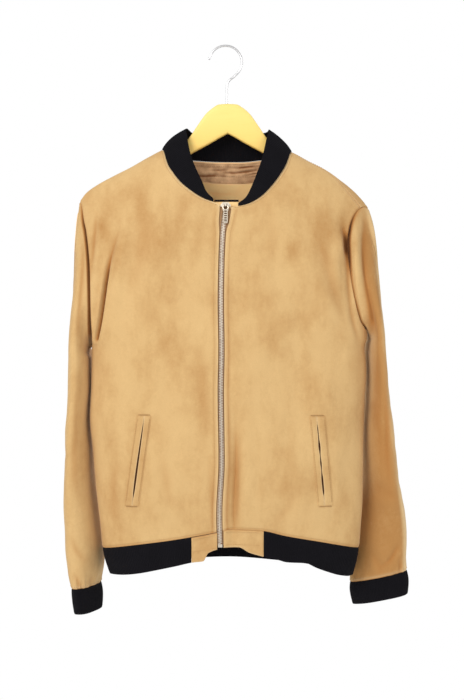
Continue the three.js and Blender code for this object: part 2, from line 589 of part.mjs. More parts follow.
const band = HEM_DROP.map((v) => around.map(([part, s]) => {
  const z = -799 + (table(LOW_FRONT, 203, 1) + 799) * v;
  if (part !== 0) {
    const tab = part < 0 ? TAB_LEFT : TAB_RIGHT;
    const x = tab + (part * halfWidth(part, z) - tab) * gather(s);
    return hemPoint(-1, x, v);
  }
  if (s === 0 || s === 1) return hemSide(s === 0 ? -1 : 1, v);
  const w = s < 0.5 ? -halfWidth(-1, z) : halfWidth(1, z);
  return hemPoint(1, w * Math.pow(Math.sin((Math.abs(1 - 2 * s) * Math.PI) / 2), 0.85), v);
}));
const sideOf = (p) => (p[1] < table(SPLIT, p[2], 1) ? -1 : 1);
const bandNormals = band.map((line) => line.map((p) => bodyNormal(p, sideOf(p))));
group.add(shell('hem_rib', band, bandNormals, RIB, false, LOOK.rib));
const TABS = [['hem_tab_left', TAB_LEFT + SEAM, -13.3], ['hem_tab_right', -3.2, TAB_RIGHT - SEAM]];
for (const [name, from, to] of TABS) {
  const tab = HEM_DROP.map((v) => span(5, (j) => hemPoint(-1, from + ((to - from) * j) / 5, v)));
  const normals = tab.map((line) => line.map((p) => bodyNormal(p, -1)));
  group.add(shell(name, tab, normals, SUEDE, false, LOOK.suede));
}

// Zip: chain between the suede edges, tape on each side behind them
const zipMiddle = (z) => table(ZIP, z, 1);
const SLIDER_Z = -262;
const CHAIN_TOP = SLIDER_Z - 3;
const CHAIN_LOW = -786;
const zipLine = (x, z) => body(x, rootOf(x, z, -1));
function bar(name, x0, x1, top, low, steps, depth, thick, material) {
  const outer = span(steps, (i) => {
    const z = top + ((low - top) * i) / steps;
    return [x0, x1].map((x) => {
      const p = zipLine(zipMiddle(z) + x, z);
      return [p[0], p[1] + depth, p[2]];
    });
  });
  const inner = outer.map((line) => line.map(([x, y, z]) => [x, y + thick, z]));
  group.add(wall(name, outer, inner, false, material));
}
bar('zip_chain', -ZIP_HALF, ZIP_HALF, CHAIN_TOP, CHAIN_LOW, 20, 0.2, 2.4, LOOK.metal);
bar('zip_tape_left', -16, -ZIP_HALF - 0.5, -259.5, CHAIN_LOW - 2, 20, 2.5, 1, LOOK.tape);
bar('zip_tape_right', ZIP_HALF + 0.5, 16, -263.5, CHAIN_LOW - 2, 20, 2.5, 1, LOOK.tape);

// Height of a panel's own facets at x, z, and the direction out of them
function onPanel(g, x, z) {
  for (let i = 0; i < g.length - 1; i += 1) {
    for (let j = 0; j < g[0].length - 1; j += 1) {
      const halves = [[g[i][j], g[i][j + 1], g[i + 1][j + 1]], [g[i][j], g[i + 1][j + 1], g[i + 1][j]]];
      for (const [a, b, c] of halves) {
        const area = (b[0] - a[0]) * (c[2] - a[2]) - (c[0] - a[0]) * (b[2] - a[2]);
        const v = ((x - a[0]) * (c[2] - a[2]) - (c[0] - a[0]) * (z - a[2])) / area;
        const w = ((b[0] - a[0]) * (z - a[2]) - (x - a[0]) * (b[2] - a[2])) / area;
        if (v >= -1e-6 && w >= -1e-6 && v + w <= 1 + 1e-6) {
          return [x, a[1] + v * (b[1] - a[1]) + w * (c[1] - a[1]), z];
        }
      }
    }
  }
  return body(x, rootOf(x, z, -1));
}

// Welts: each pocket has a slit from top to bottom and a welt on both sides of it
const WELT = 1.4;
const POCKETS = [
  // name, slit top x, z, slit bottom x, z, gap, inner breadth, outer breadth, panel
  ['pocket_right', 140.5, -588, 153.5, -727, 1.6, 10, 13, cutR],
  ['pocket_left', -126, -587, -145.5, -727, 1.2, 10, 11, cutL],
];
for (const [name, x0, z0, x1, z1, gap, inner, outer, panel] of POCKETS) {
  const sign = Math.sign(x0);
  const welts = [['inner', -gap / 2 - inner, -gap / 2], ['outer', gap / 2, gap / 2 + outer]];
  for (const [part, from, to] of welts) {
    const low = span(10, (i) => [0, 0.5, 1].map((q) => {
      const t = i / 10;
      const x = x0 + (x1 - x0) * t + sign * (from + (to - from) * q);
      return plus(onPanel(panel, x, z0 + (z1 - z0) * t), [0, -1, 0], SEAM + 0.25);
    }));
    const high = low.map((line) => line.map((p) => plus(p, [0, -1, 0], WELT)));
    group.add(wall(`${name}_${part}`, high, low, false, LOOK.suede));
  }
}

// Inside of the neck: facing and lining follow the back panel's own points
const neckCols = span(BACK_NECK_COLS - 2, (j) => SIDE_COLS + 1 + j);
const between = (i, t) => cutB[i].map((p, j) => mix3(p, cutB[i + 1][j], t));
function mix3(a, b, t) { return [0, 1, 2].map((c) => a[c] + (b[c] - a[c]) * t); }
const facingRows = [[ROWS - 1, 0.94], [ROWS - 1, 0.69], [ROWS - 1, 0.445]];
const liningRows = [
  [ROWS - 1, 0.42], [ROWS - 1, 0.02], [ROWS - 2, 0.5], [ROWS - 2, 0], [ROWS - 3, 0], [ROWS - 4, 0],
];
const INSIDE = [['back_neck_facing', facingRows, LOOK.facing], ['back_lining', liningRows, LOOK.lining]];
for (const [name, rows, material] of INSIDE) {
  const at = (d) => rows.map(([i, t]) => neckCols.map((j) => {
    const n = unit(mix3(normB[i][j], normB[i + 1][j], t));
    return plus(between(i, t)[j], n, -d - (j === SIDE_COLS + 5 ? 3 : j > SIDE_COLS + 3 ? 0.6 : 0));
  }));
  group.add(wall(name, at(SUEDE + 1.05), at(SUEDE + 1.05 + LINING), false, material));
}

// Guard behind the open top of the zip, with its dark binding
// share of the breadth, 1 where it lies on the front
const GUARD_ACROSS = [[-1, 1], [-0.7, 0], [0, 0], [0.7, 0], [1, 1]];
const guard = (z0, z1, x0, x1, depth, thick, wide) => {
  const outer = span(2, (i) => GUARD_ACROSS.map(([q, near]) => {
    const z = z0 + ((z1 - z0) * i) / 2;
    const x = (q < 0 ? x0 * -q : x1 * q) * (wide && i === 0 ? 0.68 : 1);
    return plus(zipLine(x, z), [0, 1, 0], near && wide && i > 0 ? SUEDE + 0.6 : depth);
  }));
  return [outer, outer.map((line) => line.map((p) => plus(p, [0, 1, 0], thick)))];
};
group.add(wall('zip_guard', ...guard(-253, -303, -28, 28, 6.8, 1.2, true), false, LOOK.lining));
group.add(wall('zip_guard_binding', ...guard(-249.4, -252.6, -18, 20, 6.2, 2.2, false), false, LOOK.rib));

// Rounded block from stacked rings
function rings(name, list, material) {
  const positions = list.flat();
  const n = list[0].length;
  const faces = [];
  for (let i = 0; i < list.length - 1; i += 1) {
    for (let j = 0; j < n; j += 1) {
      const k = (j + 1) % n;
      faces.push([i * n + j, i * n + k, (i + 1) * n + k], [i * n + j, (i + 1) * n + k, (i + 1) * n + j]);
    }
  }
  const last = (list.length - 1) * n;
  for (let j = 1; j < n - 1; j += 1) faces.push([0, j + 1, j], [last, last + j, last + j + 1]);
  return solid(name, positions, faces, material);
}

// Slider, pull, stops and box are laid on the slope of the zip; y 0 is the chain's front
const SLOPE = Math.atan2(zipLine(0, -262)[1] - zipLine(0, -290)[1], 28);
const sliderX = zipMiddle(SLIDER_Z);
const chainFace = zipLine(sliderX, SLIDER_Z)[1] + 0.2;
// Closed geometry made ready for joining and cutting
function joinable(geometry) {
  geometry.deleteAttribute('normal');
  geometry.deleteAttribute('uv');
  const merged = mergeVertices(geometry, 1e-4);
  return new wasm.Manifold(new wasm.Mesh({
    numProp: 3,
    vertProperties: merged.attributes.position.array,
    triVerts: new Uint32Array(merged.index.array),
  }));
}
const block = (x0, x1, y0, y1, z0, z1) => joinable(new THREE.BoxGeometry(x1 - x0, y1 - y0, z1 - z0)
  .translate((x0 + x1) / 2, (y0 + y1) / 2, (z0 + z1) / 2));
function meshOf(name, s, material, at) {
  const m = s.getMesh();
  const positions = Array.from({ length: m.numVert }, (_, i) => at(
    [...m.vertProperties.slice(i * m.numProp, i * m.numProp + 3)]));
  const faces = Array.from({ length: m.numTri }, (_, i) => [...m.triVerts.slice(3 * i, 3 * i + 3)]);
  return solid(name, positions, faces, material);
}
const onSlope = ([x, y, z]) => [x + sliderX, y * Math.cos(SLOPE) + z * Math.sin(SLOPE) + chainFace,
  z * Math.cos(SLOPE) - y * Math.sin(SLOPE) + SLIDER_Z];
const flat = (points, y0, y1) => joinable(new THREE.ExtrudeGeometry(
  new THREE.Shape(points.map(([x, z]) => new THREE.Vector2(x, z))), { depth: y1 - y0, bevelEnabled: false },
).rotateX(Math.PI / 2).translate(0, y1, 0));
const circle = (r, n, cx = 0, cz = 0) => Array.from({ length: n }, (_, i) => {
  const a = (i / n) * 2 * Math.PI;
  return [cx + r * Math.cos(a), cz + r * Math.sin(a)];
});

const SLIDER = [
  [-6.2, 6], [-4.2, 7.6], [4.2, 7.6], [6.2, 6], [4.6, -5], [3.6, -6.6], [-3.6, -6.6], [-4.6, -5],
];
const PIVOT_Y = -3.4;
const PIVOT_Z = 3;
const arch = block(-1.2, 1.2, PIVOT_Y - 2.9, -0.9, PIVOT_Z - 3, PIVOT_Z + 3)
  .subtract(block(-2, 2, PIVOT_Y - 1.7, PIVOT_Y + 1.7, PIVOT_Z - 1.8, PIVOT_Z + 1.8));
const plates = flat(SLIDER, -1.7, -0.3).add(flat(SLIDER, 3.7, 5));
const slider = plates.add(block(-1.4, 1.4, -0.4, 3.8, 4, 7.4)).add(arch);
group.add(meshOf('zip_slider', slider, LOOK.metal, onSlope));
const TAB = [[-3.2, -6], [3.2, -6], [3.4, -27], [2.4, -29.5], [-2.4, -29.5], [-3.4, -27]];
const tab = flat(TAB, -0.7, 0.7).add(flat(circle(4.9, 20, 0, -3.4), -0.7, 0.7))
  .subtract(flat(circle(3.1, 16, 0, -4.1), -2, 2)).subtract(block(-5, 5, -2, 2, 0.75, 6));
group.add(meshOf('zip_pull', tab, LOOK.metal, (p) => onSlope(plus(p, [0, PIVOT_Y, PIVOT_Z]))));
for (const [name, x] of [['zip_stop_left', -6.7], ['zip_stop_right', 6.7]]) {
  group.add(meshOf(name, block(x - 1.2, x + 1.2, 0.2, 2.0, 1, 5), LOOK.metal, onSlope));
}
const boxZ = CHAIN_LOW - SEAM;
const boxAt = zipLine(zipMiddle(boxZ), boxZ - 3);
const box = block(-3.4, 3.4, 0, 1.8, -5, 0);
group.add(meshOf('zip_box', box, LOOK.metal, (p) => plus(p, [boxAt[0], boxAt[1] + 0.2, boxZ])));

// Hanger: one flat wooden body lofted along its arms
const MID = 3;
// distance from the middle, top, underside
const WOOD = [
  [0, -91.5, -139], [14, -92.5, -146.5], [24, -98, -152.5], [34, -106.5, -158], [48, -125.5, -165.5],
  [59, -142, -171.5], [68, -153.5, -177], [80, -170.5, -188.5], [98, -184.5, -202.5], [120, -192.5, -211.5],
  [145, -203.5, -223], [170, -219.5, -239], [186, -232, -250], [193, -240, -255],
];
const WOOD_HALF = 6.5;
const rim = (n, top, low, x, half) => Array.from({ length: n }, (_, i) => {
  const a = (i / n) * 2 * Math.PI;
  const c = Math.cos(a);
  const s = Math.sin(a);
  const y = half * Math.sign(c) * Math.pow(Math.abs(c), 0.55);
  return [x, y, (top + low) / 2 + ((top - low) / 2) * Math.sign(s) * Math.pow(Math.abs(s), 0.55)];
});
const sections = [];
for (const side of [-1, 1]) {
  const list = WOOD.map(([d, top, low]) => [MID + side * d, top, low]).slice(side > 0 ? 1 : 0);
  for (const row of side < 0 ? list.reverse() : list) sections.push(row);
}
const endCap = ([x, top, low], side) => [x + side * 4, top - 5, low + 4];
sections.unshift(endCap(sections[0], -1));
sections.push(endCap(sections[sections.length - 1], 1));
group.add(rings('hanger_wood', sections.map(([x, top, low], i) => {
  const tip = i === 0 || i === sections.length - 1;
  return rim(14, top, low, x, tip ? WOOD_HALF * 0.6 : WOOD_HALF);
}), LOOK.wood));

// Hook: bent wire, from its open tip over the top to the stem
const WIRE = 1.75;
const HOOK_R = 26.25;
const HOOK_Z = -HOOK_R + WIRE;
const path = [];
for (let i = 0; i <= 18; i += 1) {
  const a = ((172 - (172 + 42) * (i / 18)) * Math.PI) / 180;
  path.push([-0.8 + HOOK_R * Math.cos(a), HOOK_Z + HOOK_R * Math.sin(a)]);
}
path.push([12.2, -48.4], [6.6, -52.6], [3, -57.4], [1.6, -63.5], [1.4, -72], [1.4, -91.5 + SEAM]);
group.add(rings('hanger_hook', path.map(([x, z], i) => {
  const a = path[Math.max(0, i - 1)];
  const b = path[Math.min(path.length - 1, i + 1)];
  const d = unit([b[0] - a[0], 0, b[1] - a[1]]);
  const side = [d[2], 0, -d[0]];
  return Array.from({ length: 10 }, (_, k) => {
    const w = (k / 10) * 2 * Math.PI;
    return plus(plus([x, 0, z], side, WIRE * Math.cos(w)), [0, 1, 0], WIRE * Math.sin(w));
  });
}), LOOK.metal));

export default group;
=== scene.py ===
"""A suede bomber jacket with black rib trim, hanging from a flat wooden hanger."""

import math

import bpy
import numpy as np
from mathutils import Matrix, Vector
from mathutils.bvhtree import BVHTree


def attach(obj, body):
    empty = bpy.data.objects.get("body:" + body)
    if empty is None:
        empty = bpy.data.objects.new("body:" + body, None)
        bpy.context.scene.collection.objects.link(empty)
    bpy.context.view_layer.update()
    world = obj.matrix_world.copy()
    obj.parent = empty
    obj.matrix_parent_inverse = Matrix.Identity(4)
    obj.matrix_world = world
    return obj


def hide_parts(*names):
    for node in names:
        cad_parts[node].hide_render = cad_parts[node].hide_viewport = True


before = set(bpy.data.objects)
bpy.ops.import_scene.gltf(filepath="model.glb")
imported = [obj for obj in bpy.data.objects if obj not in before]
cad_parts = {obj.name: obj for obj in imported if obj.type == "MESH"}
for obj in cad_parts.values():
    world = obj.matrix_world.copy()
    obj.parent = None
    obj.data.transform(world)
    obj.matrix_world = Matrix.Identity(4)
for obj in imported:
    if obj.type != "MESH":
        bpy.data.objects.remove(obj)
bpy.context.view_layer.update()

# Lengths in the tables are millimetres; meshes are made in metres.
MM = 0.001
# thickness of the suede, the rib and the lining, then the gap at a seam
SUEDE = 1.6
RIB = 2.2
LINING = 1.0
SEAM = 0.3
# fall below the shoulder ridge to the body's full depth, and how square its section is
SHOULDER_FALL = 200
ROUND = 2.5
SIDES = ((1, "right"), (-1, "left"))
# steps of the pattern: side seam, armhole, front neckline, side to neck, back neckline
LOW_ROWS = 9
HIGH_ROWS = 11
NECK_ROWS = 7
SIDE_COLS = 9
BACK_NECK_COLS = 6
ROWS = LOW_ROWS + HIGH_ROWS
NECK_START = ROWS - NECK_ROWS
BACK_COLS = 2 * SIDE_COLS + BACK_NECK_COLS
# finer steps of cloth inside one step of the pattern: down and across a front, down and across the back
FINE = 9
FINE_ACROSS = 10
BACK_FINE = (8, 7)
ZIP_HALF = 3.5

# z, half width left, half width right, depth in front, depth behind
BODY = [
    (-140, 240, 236, 52, 46), (-250, 240, 233, 54, 48), (-312, 236, 227, 56, 48),
    (-350, 233, 224, 57, 49), (-400, 230, 222, 61, 50), (-446, 226, 222.5, 65, 51),
    (-462, 221, 224.5, 66, 51.5), (-484, 214, 220.5, 67, 52), (-517, 214, 223.5, 68, 52),
    (-551, 214.6, 222, 69, 52), (-594, 216.5, 220, 69, 52), (-650, 212, 218.5, 69, 51),
    (-725, 204.6, 217, 64, 50), (-765, 200, 214.5, 59, 49), (-798, 196.5, 211.5, 56, 48),
    (-842, 184, 201.5, 54, 46), (-870, 176, 193, 52, 44),
]
# z, where the side seam lies front to back
SPLIT = [(-450, -5), (-260, 1)]
# x, height of the shoulder ridge
RIDGE = [
    (-245, -275), (-233.5, -248.5), (-223.5, -234), (-205, -220.6), (-178.7, -206.4), (-152, -193),
    (-123.5, -176.8), (-101, -165.6), (-60, -155.5), (0, -150), (60, -156), (103.5, -168.6),
    (131, -183), (157.6, -196), (174, -206.4), (200.5, -228), (217, -244.5), (227.5, -259),
    (236, -282),
]
# x, how far the right shoulder seam lies below the ridge
SEAM_DROP = [(103.5, 1), (115, 1.2), (142, 2.2), (171, 5), (189, 11), (206, 15.5), (214, 18)]
# x, z, side (-1 front, 1 back), from the armpit up to the shoulder
ARMHOLE_FRONT_R = [
    (0, -455, 0), (219, -449, -1), (213.5, -441, -1), (208, -424, -1), (203, -403, -1),
    (199, -380, -1), (196.2, -357, -1), (194.8, -334, -1), (194.3, -312, -1), (197, -291, -1),
    (203.5, -273, -1), (214, -259.4, -1),
]
ARMHOLE_BACK_R = [
    (0, -455, 0), (220, -449, 1), (216, -438, 1), (212.5, -420, 1), (209.5, -397, 1),
    (208, -372, 1), (208, -347, 1), (210, -322, 1), (214, -299, 1), (221, -279, 1),
    (227.5, -259, 1), (214, -259.4, -1),
]
ARMHOLE_FRONT_L = [
    (0, -484, 0), (-213, -477, -1), (-213.5, -462, -1), (-214.5, -440, -1), (-215.3, -417, -1),
    (-216, -393, -1), (-217, -369, -1), (-218.3, -345, -1), (-220.5, -321, -1), (-224, -298, -1),
    (-229, -273, -1), (-233.5, -248.5, -1),
]
ARMHOLE_BACK_L = [
    (0, -484, 0), (-213, -477, 1), (-212, -462, 1), (-210.5, -440, 1), (-209.5, -417, 1),
    (-209, -393, 1), (-209.5, -369, 1), (-211.5, -345, 1), (-215, -321, 1), (-220, -298, 1),
    (-227, -272, 1), (-233.5, -248.5, 1),
]
# x, z, from the corner beside the zip to the shoulder
NECK_R = [
    (8.5, -262), (19.5, -260.5), (38, -255.5), (57, -243.5), (73, -226.5), (85.5, -208.5),
    (95.5, -189.5), (103.5, -169.6),
]
NECK_L = [
    (-9.5, -257.5), (-20, -253.5), (-37, -247), (-54, -236), (-70, -222.5), (-83, -206),
    (-93, -187), (-101, -165.6),
]
# x, z of the back neckline
NECK_BACK = [
    (-101, -165.6), (-76, -175), (-40, -179.8), (1, -181), (44, -180), (87, -174.2), (103.5, -169.6),
]
# z, middle of the zip, distance from there to the suede edge
ZIP = [
    (-250, 0, 9.5), (-263, -0.5, 9.2), (-285, -3, 8), (-303, -4.8, 5.4), (-346, -6.7, 5),
    (-408, -7.7, 5), (-486, -6.6, 5), (-547, -7.7, 5), (-655, -6.3, 5), (-740, -10, 5),
    (-800, -8.3, 5),
]
# x, z of the seam above the hem band, front and back
HEM_CORNER_Z = -799
HEM_FRONT = [
    (-200, HEM_CORNER_Z), (-127, -787.6), (-95, -783), (-53.6, -776), (-9, -767), (3, -763.5),
    (30, -763.8), (58, -765.5), (92, -773.5), (149, -784.4), (180, -791), (215, HEM_CORNER_Z),
]
HEM_BACK = [(-200, HEM_CORNER_Z), (-120, -786), (0, -777), (120, -787), (215, HEM_CORNER_Z)]
# x of the back's side edge at the hem
HEM_BACK_EDGE_X = 211
# x of the lower edge at the side seam
LOW_EDGE_X = 203
# x, z of the lower edge of band and tabs
LOW_FRONT = [
    (-190, -840), (-165.5, -838.5), (-148.2, -836.2), (-107.4, -828.1), (-75.5, -820.6),
    (-53.7, -815.5), (-35, -813), (-27, -800), (-11, -794), (1, -791.5), (20, -791.5),
    (36.6, -799.7), (54.5, -805), (76.9, -809.8), (94.9, -815), (124.7, -817.3), (141, -824.9),
    (159.3, -832.3), (178.6, -838.7), (205, -843.5),
]
LOW_BACK = [(-190, -840), (-110, -829), (0, -822), (110, -830), (205, -843.5)]
# z, middle x, width, depth: soft valleys in the body
VALLEYS_FRONT = [
    [(-280, -172, 13, 0), (-330, -183, 13, 5), (-380, -193, 12, 10), (-440, -203, 11, 13),
     (-500, -214, 12, 6), (-560, -222, 12, 0)],
    [(-255, 196, 12, 0), (-290, 190, 13, 8), (-330, 189, 13, 9), (-390, 193, 13, 7),
     (-450, 205, 14, 3), (-500, 214, 14, 0)],
    [(-560, 14, 12, 0), (-640, 14, 12, 5), (-740, 13, 12, 6), (-860, 12, 12, 0)],
    [(-300, -80, 34, 0), (-420, -90, 36, 4), (-560, -96, 36, 3), (-700, -86, 36, 0)],
    [(-330, 96, 34, 0), (-460, 104, 36, 4), (-600, 98, 36, 4), (-760, 92, 30, 0)],
]
VALLEYS_BACK = [
    [(-300, -150, 26, 0), (-420, -160, 24, 7), (-560, -172, 24, 4), (-700, -176, 24, 0)],
    [(-300, 150, 26, 0), (-420, 158, 24, 7), (-560, 170, 24, 4), (-700, 176, 24, 0)],
    [(-260, -20, 30, 0), (-380, -24, 32, 5), (-560, -34, 34, 6), (-850, -30, 30, 0)],
    [(-420, 70, 30, 0), (-560, 66, 30, 5), (-700, 60, 30, 6), (-850, 60, 30, 0)],
]
# z, middle x, middle y, half thickness, half breadth, turn in degrees, tilt
SLEEVE_R = [
    (-473, 239.4, 12, 12.5, 60.5, 4, 0), (-520, 240, 13, 15, 62, 5, 0), (-562, 242, 14, 17.2, 61.5, 6, 0),
    (-602, 244.2, 14, 18.6, 60, 8, 0.02), (-641, 245.4, 15, 20.4, 57.5, 11, 0.04),
    (-684, 247, 17, 22.2, 55, 16, 0.06), (-722, 247.4, 19, 23.4, 53, 29, 0.1),
    (-758, 247, 20, 23.6, 50, 45, 0.14), (-800, 246.6, 20, 23, 48, 60, 0.2),
    (-849, 245.8, 19, 21, 46.2, 70, 0.26),
]
SLEEVE_L = [
    (-497, 234.5, 9, 15, 62, 3, 0), (-545, 235.3, 10, 16.3, 62.5, 3, 0), (-594, 236, 10, 16.5, 61.5, 4, 0),
    (-641, 235.8, 10, 17.6, 59, 6, -0.01), (-697, 235, 9, 19.4, 57, 9, -0.03),
    (-732, 233, 9, 21.4, 54, 12, -0.05), (-768, 229.8, 8, 22, 51, 14, -0.06),
    (-806, 226.6, 7, 23.2, 48, 18, -0.06), (-836, 224.2, 6, 21.6, 46, 20, -0.05),
    (-861, 223.8, 6, 16, 43, 18, -0.03),
]
CUFF_R = [
    (-849, 245.8, 19, 21, 46.2, 70, 0.26), (-861, 246.6, 19, 21, 47.2, 70, 0.26),
    (-886, 249, 19, 20, 45, 70, 0.25),
]
CUFF_L = [
    (-861, 223.8, 6, 16, 43, 18, -0.03), (-873, 222.4, 5, 17.2, 42, 18, -0.03),
    (-901, 220, 4, 15.5, 40, 18, -0.04),
]
# place along the collar: rise, lean inwards, roll outwards
COLLAR = [
    (0, 3.2, 1.5, 0), (1, 9, 8, 0.5), (2, 17, 17, 1.5), (3, 22, 24, 3), (4, 25, 29, 4),
    (5, 28, 33.5, 5), (6, 30, 35.5, 5), (7, 37.5, 24, 4), (9, 46.5, 9, 3),
]

# Creases: x, z, half width, depth, seen from in front or from behind; a minus depth is a ridge
CREASES_FRONT = [
    [(-168, -296, 3.5, 0), (-183, -345, 3.2, 3), (-188, -375, 3, 6), (-190.5, -398, 3, 8),
     (-196, -436, 3, 8), (-203, -468, 3, 4)],
    [(-150, -262, 9, 0), (-160, -300, 10, -2.2), (-168, -350, 11, -3), (-178, -420, 10, -2),
     (-188, -480, 9, 0)],
    [(-205, -265, 4, 0), (-208, -300, 4, 1.8), (-212, -345, 4, 1.4), (-213, -380, 4, 0)],
    [(-128, -262, 16, 0), (-124, -300, 18, 1.6), (-138, -360, 16, 1.2), (-150, -420, 14, 0)],
    [(184, -288, 4, 0), (189, -304, 4.5, 5), (190.5, -325, 4.5, 6), (192, -345, 4, 3), (194, -392, 3.5, 1.5),
     (200, -440, 4, 1.5), (212, -480, 4, 0)],
    [(170, -290, 7, 0), (176, -322, 7, -2.2), (176, -360, 8, -1.6), (184, -420, 8, 0)],
    [(150, -300, 12, 0), (158, -350, 10, 1.6), (172, -400, 9, 1.4), (186, -450, 9, 0)],
    [(13, -590, 5, 0), (16, -650, 5, 2), (15, -710, 5, 2.6), (13, -770, 5, 1.2)],
    [(30, -560, 9, 0), (33, -640, 9, -1.8), (30, -720, 9, -1.8), (28, -765, 9, 0)],
    [(-40, -470, 10, 0), (-34, -560, 12, 1.4), (-30, -620, 10, 0)],
    [(-24, -640, 6, 0), (-22, -700, 6, 1.5), (-20, -760, 6, 0.6)],
    [(-100, -640, 8, 0), (-92, -690, 9, 1.2), (-84, -740, 8, 0)],
    [(-168, -640, 9, 0), (-176, -700, 9, 1.6), (-172, -760, 9, 0.4)],
    [(168, -600, 9, 0), (172, -680, 10, -1.6), (176, -750, 9, 0)],
    [(110, -690, 9, 0), (96, -730, 10, 1.2), (70, -752, 9, 0)],
    [(-62, -230, 12, 0), (-70, -262, 13, 1.0), (-66, -300, 12, 0)],
    [(62, -262, 12, 0), (72, -300, 13, 1.0), (68, -350, 12, 0)],
]
CREASES_BACK = [
    [(-188, -330, 7, 0), (-186, -400, 7, 4), (-192, -450, 7, 3.5), (-204, -500, 7, 0)],
    [(-150, -300, 12, 0), (-152, -380, 12, -2.4), (-166, -470, 12, -1.6), (-180, -540, 12, 0)],
    [(186, -310, 7, 0), (184, -380, 7, 3.6), (190, -440, 7, 3), (203, -490, 7, 0)],
    [(150, -320, 12, 0), (148, -400, 12, -2.2), (160, -470, 12, 0)],
    [(-30, -300, 14, 0), (-20, -420, 15, 2), (-26, -560, 14, 2.4), (-12, -700, 14, 1.6), (-8, -770, 12, 0)],
    [(48, -480, 10, 0), (56, -580, 10, 2.6), (50, -680, 10, 2.4), (58, -775, 9, 0.6)],
    [(-96, -560, 12, 0), (-90, -650, 12, 2), (-98, -740, 12, 1.2), (-96, -780, 10, 0)],
    [(120, -600, 11, 0), (128, -690, 11, 2), (118, -780, 10, 0.8)],
    [(-120, -262, 18, 0), (0, -290, 20, 1.4), (110, -268, 18, 0)],
]
# by sleeve (1 right, -1 left), then by the side it is seen from (-1 front, 1 back)
CREASES_SLEEVE = {
    1: {
        -1: [
            [(222, -268, 5, 0), (220, -330, 6.5, 4.5), (221, -380, 6.5, 5), (226, -440, 6.5, 5),
             (232, -520, 7, 4), (238, -600, 7, 2.5), (246, -680, 7, 0)],
            [(206, -285, 5, 0), (205, -330, 6, -2.4), (206, -380, 6, -2), (212, -430, 5, 0)],
            [(238, -280, 5, 0), (236, -340, 5, -2.5), (240, -420, 5, -2.5), (250, -520, 5, -2.5),
             (262, -620, 5, -2), (272, -700, 5, 0)],
            [(250, -520, 6, 0), (252, -590, 6, 2.4), (252, -650, 6, 2.8), (262, -720, 7, 0)],
            [(226, -560, 6, 0), (232, -640, 7, -1.6), (240, -720, 8, 0)],
            [(226, -800, 6, 0), (236, -816, 6, 1.3), (246, -834, 5, 1.0), (250, -848, 5, 0)],
            [(276, -790, 5, 0), (270, -806, 4.5, 2.0), (260, -822, 4, 2.2), (248, -832, 4, 0.8)],
            [(222, -800, 5, 0), (226, -824, 5, 1.6), (222, -846, 5, 0.6)],
            [(274, -812, 4, 0), (278, -830, 4, 1.4), (272, -846, 4, 0.4)],
            [(236, -690, 9, 0), (256, -712, 9, 1.3), (276, -720, 8, 0)],
        ],
        1: [
            [(236, -330, 9, 0), (240, -420, 9, 3.4), (244, -520, 9, 3), (246, -600, 9, 0)],
            [(262, -560, 7, 0), (258, -640, 8, 2.8), (262, -720, 8, 0)],
            [(230, -700, 7, 0), (246, -740, 7, 2.2), (266, -764, 7, 0)],
            [(236, -800, 5, 0), (244, -824, 5, 1.8), (246, -846, 5, 0.5)],
        ],
    },
    -1: {
        -1: [
            [(-229, -300, 5, 0), (-227, -350, 5, 1.8), (-229, -410, 5, 1.6), (-231, -480, 5, 0)],
            [(-246, -360, 8, 0), (-249, -440, 8, -1.6), (-246, -520, 8, 0)],
            [(-228, -520, 6, 0), (-234, -600, 7, 1.8), (-236, -680, 7, 1.4), (-226, -740, 7, 0)],
            [(-218, -690, 5, 0), (-212, -740, 6, 2.2), (-208, -790, 6, 1.6), (-206, -830, 5, 0)],
            [(-244, -770, 6, 0), (-234, -800, 6, 1.6), (-218, -822, 6, 0)],
            [(-240, -832, 5, 0), (-232, -850, 4.5, 1.6), (-228, -868, 4.5, 0.6)],
            [(-212, -838, 5, 0), (-214, -856, 4.5, 1.3), (-210, -868, 4.5, 0.4)],
        ],
        1: [
            [(-236, -330, 9, 0), (-238, -430, 9, 3.2), (-236, -540, 9, 2.6), (-240, -620, 9, 0)],
            [(-222, -620, 7, 0), (-228, -700, 8, 2.6), (-222, -770, 7, 0)],
            [(-246, -760, 6, 0), (-232, -790, 6, 2), (-216, -806, 6, 0)],
            [(-232, -836, 5, 0), (-226, -856, 5, 1.5), (-224, -868, 5, 0.5)],
        ],
    },
}
# the folds on the outer side lie this much lower on the left sleeve
LEFT_LOWER = 14
# y, z on the outer side of both sleeves
CREASES_OUTSIDE = [
    [(-34, -560, 8, 0), (-14, -590, 8, 2.2), (10, -604, 8, 2.4), (34, -600, 8, 0)],
    [(-40, -640, 7, 0), (-16, -632, 7, 1.8), (14, -640, 8, 2.4), (38, -662, 8, 0)],
    [(-28, -700, 8, 0), (0, -688, 8, 1.6), (30, -700, 8, 0)],
    [(-6, -330, 8, 0), (-2, -400, 9, 2.2), (-8, -480, 10, 2.0), (-4, -540, 9, 0)],
    [(30, -360, 9, 0), (34, -440, 9, 1.8), (30, -520, 9, 0)],
    [(-10, -760, 7, 0), (4, -800, 7, 1.8), (2, -840, 6, 0.8)],
]
